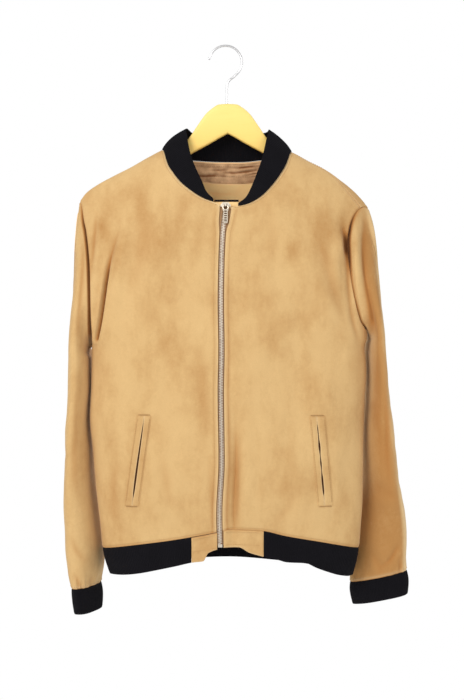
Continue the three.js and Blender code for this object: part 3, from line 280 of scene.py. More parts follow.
# Darker patches, partly brushed nap and partly painted shade at folds and beside the armholes: x, z, half
# breadth, half height, strength
NAP_AND_SHADE_FRONT = [
    (-132, -262, 14, 34, 0.55), (-150, -236, 22, 16, 0.35), (-196, -290, 9, 22, 0.45),
    (-112, -300, 30, 40, 0.22), (-60, -255, 16, 20, 0.2), (-120, -420, 22, 34, 0.3),
    (-38, -540, 12, 46, 0.3), (-90, -470, 22, 30, 0.25), (-30, -590, 10, 34, 0.3),
    (104, -330, 12, 22, 0.5), (150, -300, 18, 30, 0.35), (186, -290, 9, 26, 0.65),
    (80, -245, 26, 22, 0.22), (70, -400, 26, 12, 0.2), (128, -440, 12, 20, 0.28),
    (60, -470, 20, 14, 0.25), (16, -690, 9, 90, 0.5), (110, -700, 30, 16, 0.22),
    (96, -610, 20, 12, 0.15), (150, -690, 10, 34, 0.22), (-70, -720, 24, 12, 0.25),
    (-178, -640, 10, 60, 0.25), (-60, -660, 20, 14, 0.15), (-20, -330, 6, 70, 0.22),
    (30, -268, 12, 8, 0.35),
]
NAP_AND_SHADE_BACK = [
    (-110, -300, 40, 26, 0.3), (60, -340, 30, 46, 0.28), (-30, -520, 24, 60, 0.3),
    (120, -560, 26, 40, 0.28), (-120, -660, 30, 40, 0.28), (40, -720, 34, 24, 0.25),
    (170, -420, 14, 50, 0.4), (-176, -440, 14, 50, 0.4),
]


# Reading tables and curves

def table(rows, key, column):
    """Smooth reading of a table by its first column, for a whole array at once."""
    rows = np.asarray(rows, float)
    if rows[-1, 0] < rows[0, 0]:
        rows = rows[::-1]
    k, v = rows[:, 0], rows[:, column]
    slope = np.diff(v) / np.diff(k)
    tangent = np.empty_like(v)
    tangent[0], tangent[-1] = slope[0], slope[-1]
    a, b = slope[:-1], slope[1:]
    same = a * b > 0
    tangent[1:-1] = np.where(same, 2 * a * b / np.where(same, a + b, 1), 0)
    q = np.clip(np.asarray(key, float), k[0], k[-1])
    i = np.clip(np.searchsorted(k, q, side="right") - 1, 0, len(k) - 2)
    h = k[i + 1] - k[i]
    t = (q - k[i]) / h
    t2, t3 = t * t, t * t * t
    return (v[i] * (2 * t3 - 3 * t2 + 1) + tangent[i] * h * (t3 - 2 * t2 + t)
            + v[i + 1] * (3 * t2 - 2 * t3) + tangent[i + 1] * h * (t3 - t2))


def through(points, u):
    """Smooth curve through points, u in steps of the list."""
    points = np.asarray(points, float)
    n = len(points) - 1
    u = np.clip(np.asarray(u, float), 0, n)
    i = np.minimum(n - 1, np.floor(u).astype(int))
    t = (u - i)[..., None]
    a, b = points[np.clip(i - 1, 0, n)], points[i]
    c, d = points[i + 1], points[np.clip(i + 2, 0, n)]
    return 0.5 * (2 * b + (c - a) * t + (2 * a - 5 * b + 4 * c - d) * t * t
                  + (3 * b - a - 3 * c + d) * t * t * t)


def beside(distance, reach):
    """1 on a line, fading away from it on both sides."""
    return np.exp(-(distance / reach) ** 2)


def soft(x, reach):
    """0 at x = 0, rising smoothly to 1 at its reach."""
    t = np.clip(x / reach, 0, 1)
    return t * t * (3 - 2 * t)


def steps(a, b, count):
    return np.linspace(a, b, count + 1)


def unit(v):
    return v / np.maximum(np.linalg.norm(v, axis=-1, keepdims=True), 1e-9)


def ridge(x):
    return table(RIDGE, x, 1)


def half_width(x, z):
    return np.where(np.asarray(x) < 0, table(BODY, z, 1), table(BODY, z, 2))


def valleys(group, x, z):
    total = np.zeros(np.broadcast(x, z).shape)
    for rows in group:
        inside = (z <= rows[0][0]) & (z >= rows[-1][0])
        u = (x - table(rows, z, 1)) / table(rows, z, 2)
        total -= np.where(inside, table(rows, z, 3) * np.exp(-u * u), 0)
    return total


def depth_of(x, z, front):
    return np.where(front, table(BODY, z, 3) + valleys(VALLEYS_FRONT, x, z),
                    table(BODY, z, 4) + valleys(VALLEYS_BACK, x, z))


def body(x, e):
    """Body form: e is the root of the drop below the ridge, negative in front and positive behind."""
    x, e = np.broadcast_arrays(np.asarray(x, float), np.asarray(e, float))
    z = ridge(x) - e * e
    over = np.clip(np.abs(x) / half_width(x, z), 0, 1)
    across = np.maximum(0, 1 - over ** ROUND) ** (1 / ROUND)
    fall = np.clip(e * e / SHOULDER_FALL, 0, 1)
    down = np.sqrt(np.maximum(0, 1 - (1 - fall) ** 2))
    y = table(SPLIT, z, 1) + np.where(e < 0, -1, 1) * depth_of(x, z, e < 0) * down * across
    return np.stack([x, y, z], -1)


def body_normal(p, front):
    """Direction out of the body form at its points."""
    def square(x, z):
        over = np.clip(np.abs(x) / half_width(x, z), 0, 1)
        fall = np.minimum(1, (ridge(x) - z) / SHOULDER_FALL)
        return (depth_of(x, z, front) ** 2 * (2 * fall - fall * fall)
                * np.maximum(0, 1 - over ** ROUND) ** (2 / ROUND))
    h = 0.4
    x, y, z = p[..., 0], p[..., 1], p[..., 2]
    return unit(np.stack([(square(x - h, z) - square(x + h, z)) / (2 * h), 2 * (y - table(SPLIT, z, 1)),
                          (square(x, z - h) - square(x, z + h)) / (2 * h)], -1))


def root_of(x, z, side):
    return (-1 if side < 0 else 1) * np.sqrt(np.maximum(0, ridge(x) - np.asarray(z, float)))


def armhole(rows, sign, pit_side):
    out = []
    for x, z, side in rows:
        if side == 0:
            x = sign * float(half_width(sign, z))
            side = pit_side
        out.append((x, float(root_of(x, z, side))))
    return np.array(out)


EDGE = {
    (1, -1): armhole(ARMHOLE_FRONT_R, 1, -1), (1, 1): armhole(ARMHOLE_BACK_R, 1, 1),
    (-1, -1): armhole(ARMHOLE_FRONT_L, -1, -1), (-1, 1): armhole(ARMHOLE_BACK_L, -1, 1),
}
NECK_FRONT = {s: np.array([(x, float(root_of(x, z, -1))) for x, z in rows])
              for s, rows in ((1, NECK_R), (-1, NECK_L))}
NECK_B = np.array([(x, -1 if i == 6 else float(root_of(x, z, 1))) for i, (x, z) in enumerate(NECK_BACK)])


def side_edge(sign, side, hem_z, row):
    """The side edge in steps of rows: seam up to the armpit, then the armhole."""
    edge = EDGE[sign, side]
    row = np.asarray(row, float)
    top = float(ridge(edge[0, 0])) - edge[0, 1] ** 2
    z = hem_z + (top - hem_z) * np.clip(row / LOW_ROWS, 0, 1)
    x = sign * half_width(sign, z)
    low = np.stack([x, root_of(x, z, side)], -1)
    return np.where((row >= LOW_ROWS)[..., None], through(edge, row - LOW_ROWS), low)


def zip_edge(sign, row):
    row = np.asarray(row, float)
    neck = NECK_R if sign > 0 else NECK_L
    low = float(table(HEM_FRONT, sign * 3 - 8, 1))
    z = low + (neck[0][1] - low) * np.clip(row / NECK_START, 0, 1)
    x = table(ZIP, z, 1) + sign * table(ZIP, z, 2)
    seam = np.stack([x, root_of(x, z, -1)], -1)
    return np.where((row >= NECK_START)[..., None], through(NECK_FRONT[sign], row - NECK_START), seam)


def gather(s):
    return np.sin(np.asarray(s) * math.pi / 2) ** 0.85


def patch(bottom, top, left, right, s, t, row):
    """Four-sided patch between its edges, all in x and e."""
    s3, t3 = s[..., None], t[..., None]
    c00, c10 = bottom(np.array(0.0)), bottom(np.array(1.0))
    c01, c11 = top(np.array(0.0)), top(np.array(1.0))
    return ((1 - t3) * bottom(s) + t3 * top(s) + (1 - s3) * left(row) + s3 * right(row)
            - ((1 - s3) * (1 - t3) * c00 + s3 * (1 - t3) * c10 + (1 - s3) * t3 * c01 + s3 * t3 * c11))


def shoulder_root(sign, x):
    return -np.sqrt(table(SEAM_DROP, x, 1)) if sign > 0 else np.zeros_like(x)


def front_form(sign, s, row):
    hem_z = float(table(HEM_FRONT, sign * float(half_width(sign, HEM_CORNER_Z)), 1))
    x0, x1 = zip_edge(sign, 0)[0], side_edge(sign, -1, hem_z, 0)[0]

    def bottom(q):
        x = x0 + (x1 - x0) * gather(q)
        return np.stack([x, root_of(x, table(HEM_FRONT, x, 1), -1)], -1)

    a, b = zip_edge(sign, ROWS), side_edge(sign, -1, hem_z, ROWS)

    def top(q):
        x = a[0] + (b[0] - a[0]) * (0.55 * q + 0.45 * gather(q))
        return np.stack([x, shoulder_root(sign, x)], -1)

    xe = patch(bottom, top, lambda r: zip_edge(sign, r), lambda r: side_edge(sign, -1, hem_z, r),
               s, row / ROWS, row)
    return body(xe[..., 0], np.minimum(xe[..., 1], 0))


def back_form(column, row):
    hem_z = float(table(HEM_BACK, HEM_BACK_EDGE_X, 1))
    s = column / BACK_COLS
    wl, wr = side_edge(-1, 1, hem_z, 0)[0], side_edge(1, 1, hem_z, 0)[0]

    def bottom(q):
        w = np.where(q < 0.5, wl, wr)
        x = w * np.sin(np.abs(1 - 2 * q) * math.pi / 2) ** 0.85
        return np.stack([x, root_of(x, table(HEM_BACK, x, 1), 1)], -1)

    def top(q):
        c = np.asarray(q * BACK_COLS, float)
        neck = through(NECK_B, c - SIDE_COLS)
        out = neck.copy()
        for sign in (-1, 1):
            if sign < 0:
                here, p = c < SIDE_COLS, (SIDE_COLS - c) / SIDE_COLS
            else:
                here, p = c > SIDE_COLS + BACK_NECK_COLS, (c - SIDE_COLS - BACK_NECK_COLS) / SIDE_COLS
            p = np.clip(p, 0, 1)
            inner, outer = NECK_B[0 if sign < 0 else BACK_NECK_COLS], EDGE[sign, 1][HIGH_ROWS]
            x = inner[0] + (outer[0] - inner[0]) * (0.55 * p + 0.45 * gather(p))
            seam = np.stack([x, shoulder_root(sign, x)], -1)
            out = np.where(here[..., None], seam, out)
        return out

    xe = patch(bottom, top, lambda r: side_edge(-1, 1, hem_z, r), lambda r: side_edge(1, 1, hem_z, r),
               s, row / ROWS, row)
    return body(xe[..., 0], xe[..., 1])


# Folds, wrinkles and seams

def crease_field(p, creases):
    """Depth of the listed creases at points seen along Y, and the painted shade that darkens each one."""
    x, z = p[..., 0], p[..., 2]
    depth = np.zeros(x.shape)
    shade = np.zeros(x.shape)
    for rows in creases:
        line = through(rows, np.linspace(0, len(rows) - 1, 10 * (len(rows) - 1) + 1))
        near = np.full(x.shape, 1e9)
        width = np.ones(x.shape)
        deep = np.zeros(x.shape)
        for (xa, za, wa, da), (xb, zb, wb, db) in zip(line[:-1], line[1:]):
            lx, lz = xb - xa, zb - za
            t = np.clip(((x - xa) * lx + (z - za) * lz) / (lx * lx + lz * lz + 1e-9), 0, 1)
            d = np.hypot(x - xa - t * lx, z - za - t * lz)
            closer = d < near
            near = np.where(closer, d, near)
            width = np.where(closer, wa + (wb - wa) * t, width)
            deep = np.where(closer, da + (db - da) * t, deep)
        s = near / width
        core = np.exp(-s * s)
        lip = np.exp(-((s - 2.1) / 0.9) ** 2)
        depth += deep * (core - 0.28 * lip)
        # painted shade: narrow, deep creases are painted darker than wide, shallow ones
        narrow = 0.07 + 0.35 / width
        shade += np.clip(deep, 0, None) * np.exp(-(1.25 * s) ** 2) * narrow
    return depth, shade


# length and height of the waves in hanging cloth, and how many directions each runs in
WAVES = ((150, 0.9), (96, 0.7), (61, 0.45), (38, 0.28), (23, 0.16))
WAVES_EACH = 3


def rumple(p, seed, size=1.0):
    """Soft uneven waves that no flat cloth is without."""
    draw = np.random.default_rng(seed)
    x, z = p[..., 0] + 0.6 * p[..., 1], p[..., 2]
    total = np.zeros(x.shape)
    for wave, height in WAVES:
        for _ in range(WAVES_EACH):
            turn = draw.uniform(-0.75, 0.75)
            phase = draw.uniform(0, 2 * math.pi, 2)
            u = x * math.cos(turn) + z * math.sin(turn)
            v = -x * math.sin(turn) + z * math.cos(turn)
            bend = 0.8 * np.sin(v / (wave * 0.55) + phase[1])
            total += height * np.sin(2 * math.pi * u / wave + phase[0] + bend)
    return total * 0.33 * size


def blobs(p, patches):
    total = np.zeros(p.shape[:-1])
    for x, z, wide, high, strength in patches:
        total += strength * np.exp(-((p[..., 0] - x) / wide) ** 2 - ((p[..., 2] - z) / high) ** 2)
    return np.clip(total, 0, 1)


def along(g, axis):
    """Distance from the first point along a grid's rows or columns."""
    step = np.linalg.norm(np.diff(g, axis=axis), axis=-1)
    return np.concatenate([np.zeros_like(np.take(step, [0], axis)), np.cumsum(step, axis)], axis)


def seam_roll(distance, rise=0.55, groove=0.5, place=2.6):
    """Cloth beside a seam: it dips into the seam and puffs up next to it."""
    return rise * beside(distance - place, 1.9) - groove * beside(distance, 1.1)


# Making meshes

def grid_normals(g, ring, flip):
    if ring:
        across = np.roll(g, -1, 1) - np.roll(g, 1, 1)
    else:
        across = np.gradient(g, axis=1)
    n = unit(np.cross(across, np.gradient(g, axis=0)))
    return -n if flip else n


def ids(m, n, ring, start=0):
    index = start + np.arange(m * n).reshape(m, n)
    return np.concatenate([index, index[:, :1]], 1) if ring else index


def quads_between(a, b):
    return np.stack([a[:-1], a[1:], b[1:], b[:-1]], -1).reshape(-1, 4)


def mesh_object(name, points, faces, material, body_name="jacket", smooth=True, uv=None,
                values=None):
    """A mesh from arrays in millimetres, with its finish, its body and its values for the shaders."""
    mesh = bpy.data.meshes.new(name)
    mesh.from_pydata((np.asarray(points, float) * MM).tolist(), [], [list(map(int, f)) for f in faces])
    mesh.update()
    if smooth:
        mesh.polygons.foreach_set("use_smooth", np.ones(len(mesh.polygons), bool))
    if uv is not None:
        layer = mesh.uv_layers.new(name="Cut")
        corner = np.empty(len(mesh.loops), np.int32)
        mesh.loops.foreach_get("vertex_index", corner)
        layer.data.foreach_set("uv", (np.asarray(uv, float) * MM)[corner].astype(np.float32).ravel())
    for key, value in (values or {}).items():
        held = mesh.attributes.new(key, "FLOAT", "POINT")
        held.data.foreach_set("value", np.asarray(value, np.float32).ravel())
    mesh.materials.append(material)
    made = bpy.data.objects.new(name, mesh)
    bpy.context.scene.collection.objects.link(made)
    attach(made, body_name)
    return made


def cloth(name, node, g, normals, thick, ring, material, values=None, uv=None):
    """A thin closed shell: the outer grid, the inner grid behind it and the cut edges round them."""
    m, n = g.shape[:2]
    outer, inner = ids(m, n, ring), ids(m, n, ring, m * n)

    def sheet_faces(i):
        return np.stack([i[:-1, :-1], i[:-1, 1:], i[1:, 1:], i[1:, :-1]], -1).reshape(-1, 4)

    faces = [sheet_faces(outer), sheet_faces(inner)[:, ::-1],
             quads_between(inner[0], outer[0]), quads_between(outer[-1], inner[-1])]
    if not ring:
        faces += [quads_between(outer[:, 0], inner[:, 0]), quads_between(inner[:, -1], outer[:, -1])]
    faces = np.concatenate(faces)
    points = np.concatenate([g.reshape(-1, 3), (g - normals * thick).reshape(-1, 3)])
    i, j = m // 2, n // 3
    cell = [points[outer[i, j]], points[outer[i, j + 1]], points[outer[i + 1, j + 1]]]
    if np.dot(np.cross(cell[1] - cell[0], cell[2] - cell[0]), normals[i, j]) < 0:
        faces = faces[:, ::-1]
    if uv is None:
        uv = np.stack([along(g, 1), along(g, 0)], -1)
    twice = {k: np.concatenate([v.ravel(), v.ravel()]) for k, v in (values or {}).items()}
    back = np.zeros(2 * m * n)
    back[m * n:] = 1
    twice["inside"] = back
    made = mesh_object(name, points, faces, material, uv=np.tile(uv.reshape(-1, 2), (2, 1)),
                       values=twice)
    if node:
        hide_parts(node)
    edge_angle(made)
    return made


def edge_angle(made, degrees=42):
    """Sharp where two faces meet at more than this angle, smooth elsewhere."""
    bpy.context.view_layer.objects.active = made
    for o in bpy.context.selected_objects:
        o.select_set(False)
    made.select_set(True)
    bpy.ops.object.shade_smooth_by_angle(angle=math.radians(degrees))
    made.select_set(False)


def tube_faces(rings, around, turned=False):
    """Quads between rings of points; turned where the rings run the other way."""
    faces = []
    for r in range(rings - 1):
        for i in range(around):
            a, b = r * around + i, r * around + (i + 1) % around
            faces.append([a, a + around, b + around, b] if turned else [a, b, b + around, a + around])
    return faces


def joined(parts):
    """Points and faces of several small meshes as one."""
    points, faces, start = [], [], 0
    for p, f in parts:
        points.append(np.asarray(p, float))
        faces += [[start + i for i in face] for face in f]
        start += len(p)
    return np.concatenate(points), faces


# Colours, in linear light

def linear(r, g, b):
    """A colour read as 0 to 255 on screen, as light."""
    light = []
    for v in (r, g, b):
        light.append(v / 255 / 12.92 if v <= 10 else ((v / 255 + 0.055) / 1.055) ** 2.4)
    return (*light, 1.0)


SAND = linear(207, 171, 118)
SAND_LIGHT = linear(216, 182, 128)
SAND_DEEP = linear(176, 129, 76)
# painted shade colours for creases, seams and the armholes
SAND_SHADE = linear(172, 118, 64)
SAND_FOLD_SHADE = linear(70, 32, 10)
# painted highlight colour for seams, cut edges and the sides of the sleeves
SAND_HIGHLIGHT = linear(232, 206, 162)
PEACH = linear(250, 214, 162)
TAUPE = linear(232, 190, 146)
TAUPE_DEEP = linear(150, 102, 66)
BLACK_RIB = linear(13, 12, 16)
# lighter rib colour, for the painted highlight on raised loops and for the random wash
BLACK_RIB_LIGHT = linear(27, 26, 32)
THREAD_SAND = linear(206, 163, 108)
THREAD_TAUPE = linear(150, 108, 70)
THREAD_POCKET = linear(184, 138, 86)
LINING_PEACH = linear(255, 220, 156)
LINING_PEACH_DEEP = linear(252, 190, 122)
TAPE_SAND = linear(168, 134, 98)
# painted shadow colours for the pocket openings
SLIT_SHADOW_BROWN = linear(74, 42, 20)
SLIT_SHADOW_DEEP = linear(40, 22, 12)
WOOD_PALE = linear(244, 220, 128)
WOOD_WARM = linear(252, 207, 108)
WOOD_GRAIN = linear(240, 214, 124)
STEEL = linear(226, 226, 228)
STEEL_SHADE = linear(170, 170, 176)
ZIP_METAL = linear(232, 222, 206)
ZIP_SHADE = linear(150, 128, 104)
# painted shadow colours for the holes in the slider and the pull tab
HOLE_SHADOW = linear(92, 70, 50)
HOLE_SHADOW_DEEP = linear(52, 36, 24)


# Shader helpers

def feed(tree, made, values):
    """Links sockets to a node's inputs, by name or place, and sets those that are plain values."""
    for key, value in values:
        if isinstance(value, bpy.types.NodeSocket):
            tree.links.new(value, made.inputs[key])
        else:
            made.inputs[key].default_value = value
    return made


def add(tree, kind, values=None, **settings):
    made = tree.nodes.new(kind)
    for key, value in settings.items():
        setattr(made, key, value)
    return feed(tree, made, (values or {}).items())


def mixed(tree, share, a, b):
    """One colour over another by a share from 0 to 1."""
    made = add(tree, "ShaderNodeMix", data_type="RGBA", blend_type="MIX", clamp_factor=True)
    return feed(tree, made, ((0, share), (6, a), (7, b))).outputs[2]


def maths(tree, what, a, b=0.0, c=0.0):
    made = add(tree, "ShaderNodeMath", operation=what)
    return feed(tree, made, enumerate((a, b, c))).outputs[0]


def stretch(tree, value, low, high):
    made = add(tree, "ShaderNodeMapRange", {"Value": value, "From Min": low, "From Max": high})
    return made.outputs[0]


def noise(tree, place, scale, detail=3.0, rough=0.55, squash=None):
    if squash:
        place = add(tree, "ShaderNodeMapping", {"Vector": place, "Scale": squash}).outputs[0]
    made = add(tree, "ShaderNodeTexNoise",
               {"Vector": place, "Scale": scale, "Detail": detail, "Roughness": rough})
    return made.outputs[0]


def held(tree, name):
    return add(tree, "ShaderNodeAttribute", attribute_name=name).outputs["Fac"]


def shader_group(name, inputs, outputs):
    tree = bpy.data.node_groups.new(name, "ShaderNodeTree")
    for label, kind, value in inputs:
        made = tree.interface.new_socket(label, in_out="INPUT", socket_type=kind)
        made.default_value = value
    for label, kind in outputs:
        tree.interface.new_socket(label, in_out="OUTPUT", socket_type=kind)
    return tree, tree.nodes.new("NodeGroupInput"), tree.nodes.new("NodeGroupOutput")


def use_group(tree, group, values=None):
    made = tree.nodes.new("ShaderNodeGroup")
    made.node_tree = group
    return feed(tree, made, (values or {}).items())


COLOUR, NUMBER = "NodeSocketColor", "NodeSocketFloat"


def make_nap_group():
    """Brushed nap: broad clouds, streaks down the cloth, fibre grain, darker patches that are partly nap and
    partly painted shade, and painted shade in folds and seams.
    """
    tree, given, out = shader_group(
        "BrushedNap",
        [("Base", COLOUR, SAND), ("Light", COLOUR, SAND_LIGHT), ("Deep", COLOUR, SAND_DEEP),
         ("Shade", COLOUR, SAND_SHADE), ("Fold Shade", COLOUR, SAND_FOLD_SHADE), ("Clouds", NUMBER, 0.6),
         ("Grain", NUMBER, 1.0)],
        [("Colour", COLOUR), ("Height", NUMBER), ("Roughness", NUMBER)])
    place = add(tree, "ShaderNodeTexCoord").outputs["Object"]
    broad = noise(tree, place, 17.0, 4.0, 0.6, (1.0, 1.0, 0.62))
    streak = noise(tree, place, 60.0, 4.0, 0.65, (1.0, 1.0, 0.3))
    small = noise(tree, place, 190.0, 3.0, 0.6)
    fibre = noise(tree, place, 1500.0, 3.0, 0.7, (1.0, 1.0, 0.5))
    dust = noise(tree, place, 3600.0, 2.0, 0.6)
    cloud = stretch(tree, broad, 0.48, 0.72)
    pale = stretch(tree, broad, 0.5, 0.3)
    clouded = maths(tree, "MULTIPLY", cloud, given.outputs["Clouds"])
    # darker patches, partly brushed nap and partly painted shade, and random clouds mix the colour towards
    # Deep
    nap_and_shade = maths(tree, "ADD", held(tree, "nap_and_shade"), clouded)
    nap_and_shade = maths(tree, "ADD", nap_and_shade, maths(tree, "MULTIPLY_ADD", streak, 0.5, -0.25))
    nap_and_shade = maths(tree, "ADD", nap_and_shade, maths(tree, "MULTIPLY_ADD", small, 0.36, -0.18))
    colour = mixed(tree, maths(tree, "MULTIPLY", pale, 0.6), given.outputs["Base"], given.outputs["Light"])
    colour = mixed(tree, nap_and_shade, colour, given.outputs["Deep"])
    # painted shade: this value darkens the cloth towards Shade, then towards the fold colour in the deepest
    # creases and seams
    painted_shade = held(tree, "painted_shade")
    colour = mixed(tree, maths(tree, "MULTIPLY", painted_shade, 2.0), colour, given.outputs["Shade"])
    colour = mixed(tree, maths(tree, "MULTIPLY_ADD", painted_shade, 2.0, -1.0), colour, given.outputs["Fold Shade"])
    grain = stretch(tree, fibre, 0.3, 0.7)
    shade = maths(tree, "MULTIPLY_ADD", maths(tree, "SUBTRACT", grain, 0.5),
                  maths(tree, "MULTIPLY", given.outputs["Grain"], 0.14), 1.0)
    dull = add(tree, "ShaderNodeHueSaturation", {"Value": shade, "Color": colour})
    tree.links.new(dull.outputs[0], out.inputs["Colour"])
    height = maths(tree, "ADD", maths(tree, "MULTIPLY", fibre, 0.7), maths(tree, "MULTIPLY", dust, 0.3))
    tree.links.new(height, out.inputs["Height"])
    tree.links.new(maths(tree, "MULTIPLY_ADD", grain, -0.1, 0.98), out.inputs["Roughness"])
    return tree


def make_knit_group():
    """Rib knit: stitches stacked down each rib, with fine hairs; the raised loops are painted lighter, a
    painted highlight, and a broad wash varies the tone.
    """
    tree, given, out = shader_group(
        "RibStitches",
        [("Base", COLOUR, BLACK_RIB), ("Light", COLOUR, BLACK_RIB_LIGHT), ("Stitch", NUMBER, 900.0)],
        [("Colour", COLOUR), ("Height", NUMBER)])
    cut = add(tree, "ShaderNodeUVMap", uv_map="Cut").outputs[0]
    part = add(tree, "ShaderNodeSeparateXYZ", {"Vector": cut})
    turn = maths(tree, "MULTIPLY", given.outputs["Stitch"], 2 * math.pi)
    rows = maths(tree, "MULTIPLY", part.outputs[1], turn)
    slant = maths(tree, "SINE", maths(tree, "MULTIPLY", part.outputs[0], 2100.0))
    slant = maths(tree, "MULTIPLY", slant, 1.3)
    loops = maths(tree, "SINE", maths(tree, "ADD", rows, slant))
    place = add(tree, "ShaderNodeTexCoord").outputs["Object"]
    hair = noise(tree, place, 2600.0, 2.0, 0.6)
    wash = noise(tree, place, 30.0, 3.0, 0.6)
    height = maths(tree, "MULTIPLY_ADD", loops, 0.3, 0.35)
    height = maths(tree, "ADD", height, maths(tree, "MULTIPLY", hair, 0.35))
    # painted highlight: the higher a loop stands, the more it takes the lighter colour
    share = maths(tree, "MULTIPLY", stretch(tree, height, 0.35, 1.1), 0.6)
    share = maths(tree, "ADD", share, maths(tree, "MULTIPLY_ADD", wash, 0.5, -0.2))
    tree.links.new(mixed(tree, share, given.outputs["Base"], given.outputs["Light"]), out.inputs["Colour"])
    tree.links.new(height, out.inputs["Height"])
    return tree


def make_weave_group():
    """Fine plain weave on a sheet's own cut, with broad clouds and painted shade in wrinkles and seams."""
    tree, given, out = shader_group(
        "FineWeave", [("Base", COLOUR, PEACH), ("Deep", COLOUR, TAUPE), ("Threads", NUMBER, 1800.0),
                      ("Clouds", NUMBER, 0.5)],
        [("Colour", COLOUR), ("Height", NUMBER)])
    cut = add(tree, "ShaderNodeUVMap", uv_map="Cut").outputs[0]
    part = add(tree, "ShaderNodeSeparateXYZ", {"Vector": cut})
    turn = maths(tree, "MULTIPLY", given.outputs["Threads"], 2 * math.pi)
    warp = maths(tree, "SINE", maths(tree, "MULTIPLY", part.outputs[0], turn))
    weft = maths(tree, "SINE", maths(tree, "MULTIPLY", part.outputs[1], turn))
    weave = maths(tree, "MULTIPLY_ADD", maths(tree, "MULTIPLY", warp, weft), 0.5, 0.5)
    place = add(tree, "ShaderNodeTexCoord").outputs["Object"]
    cloud = noise(tree, place, 70.0, 4.0, 0.6)
    share = maths(tree, "MULTIPLY", stretch(tree, cloud, 0.35, 0.75), given.outputs["Clouds"])
    share = maths(tree, "ADD", share, maths(tree, "MULTIPLY", weave, 0.12))
    # painted shade: this value darkens wrinkles and seams towards Deep
    share = maths(tree, "ADD", share, held(tree, "painted_shade"))
    tree.links.new(mixed(tree, share, given.outputs["Base"], given.outputs["Deep"]), out.inputs["Colour"])
    tree.links.new(weave, out.inputs["Height"])
    return tree


NAP, KNIT, WEAVE = make_nap_group(), make_knit_group(), make_weave_group()


def blank(name, **plain):
    """A new finish with its shader and the numbers set on the shader itself."""
    made = bpy.data.materials.new(name)
    made.use_nodes = True
    shader = made.node_tree.nodes["Principled BSDF"]
    for key, value in plain.items():
        shader.inputs[key.replace("_", " ")].default_value = value
    return made, made.node_tree, shader


def relief(tree, shader, height, strength, distance):
    made = add(tree, "ShaderNodeBump", {"Height": height, "Strength": strength, "Distance": distance})
    tree.links.new(made.outputs[0], shader.inputs["Normal"])


def napped(name, base, light, deep, fold_shade, clouds, inner, edge):
    made, tree, shader = blank(name, Roughness=0.95, Sheen_Weight=0.22, Sheen_Roughness=0.45,
                               Specular_IOR_Level=0.15)
    shader.inputs["Sheen Tint"].default_value = (1.0, 0.9, 0.74, 1.0)
    nap = use_group(tree, NAP, {"Base": base, "Light": light, "Deep": deep, "Fold Shade": fold_shade, "Clouds": clouds})
    # painted highlight: the edge value lightens the cloth towards the highlight colour along seams, cut edges
    # and the sleeves' sides
    colour = mixed(tree, held(tree, "edge"), nap.outputs["Colour"], edge)
    colour = mixed(tree, held(tree, "inside"), colour, inner)
    tree.links.new(colour, shader.inputs["Base Color"])
    tree.links.new(nap.outputs["Roughness"], shader.inputs["Roughness"])
    relief(tree, shader, nap.outputs["Height"], 0.5, 0.0006)
    return made


def knitted(name):
    made, tree, shader = blank(name, Roughness=0.95, Sheen_Weight=0.04, Specular_IOR_Level=0.08)
    knit = use_group(tree, KNIT)
    tree.links.new(knit.outputs["Colour"], shader.inputs["Base Color"])
    relief(tree, shader, knit.outputs["Height"], 0.6, 0.0005)
    return made


def woven(name, base, deep, threads, clouds, rough):
    made, tree, shader = blank(name, Roughness=rough, Sheen_Weight=0.1, Specular_IOR_Level=0.2)
    weave = use_group(tree, WEAVE, {"Base": base, "Deep": deep, "Threads": threads, "Clouds": clouds})
    tree.links.new(weave.outputs["Colour"], shader.inputs["Base Color"])
    relief(tree, shader, weave.outputs["Height"], 0.35, 0.0003)
    return made


def spun(name, base):
    """Sewing thread with its twist."""
    made, tree, shader = blank(name, Roughness=0.7, Specular_IOR_Level=0.3)
    place = add(tree, "ShaderNodeTexCoord").outputs["Object"]
    twist = noise(tree, place, 2400.0, 2.0, 0.5)
    dark = tuple(v * 0.72 for v in base[:3]) + (1.0,)
    tree.links.new(mixed(tree, stretch(tree, twist, 0.35, 0.65), base, dark), shader.inputs["Base Color"])
    relief(tree, shader, twist, 0.4, 0.0002)
    return made


def polished(name, base, shade, rough, scratch):
    """Bright metal with rubbed patches and fine scratches."""
    made, tree, shader = blank(name, Metallic=1.0, Roughness=rough)
    place = add(tree, "ShaderNodeTexCoord").outputs["Object"]
    rubbed = noise(tree, place, 130.0, 4.0, 0.6)
    lines = noise(tree, place, 900.0, 3.0, 0.6, (1.0, 1.0, 0.08))
    tree.links.new(mixed(tree, maths(tree, "MULTIPLY", stretch(tree, rubbed, 0.5, 0.8), 0.5), base, shade),
                   shader.inputs["Base Color"])
    tree.links.new(maths(tree, "MULTIPLY_ADD", lines, 0.25, rough - 0.1), shader.inputs["Roughness"])
    relief(tree, shader, lines, scratch, 0.00008)
    return made


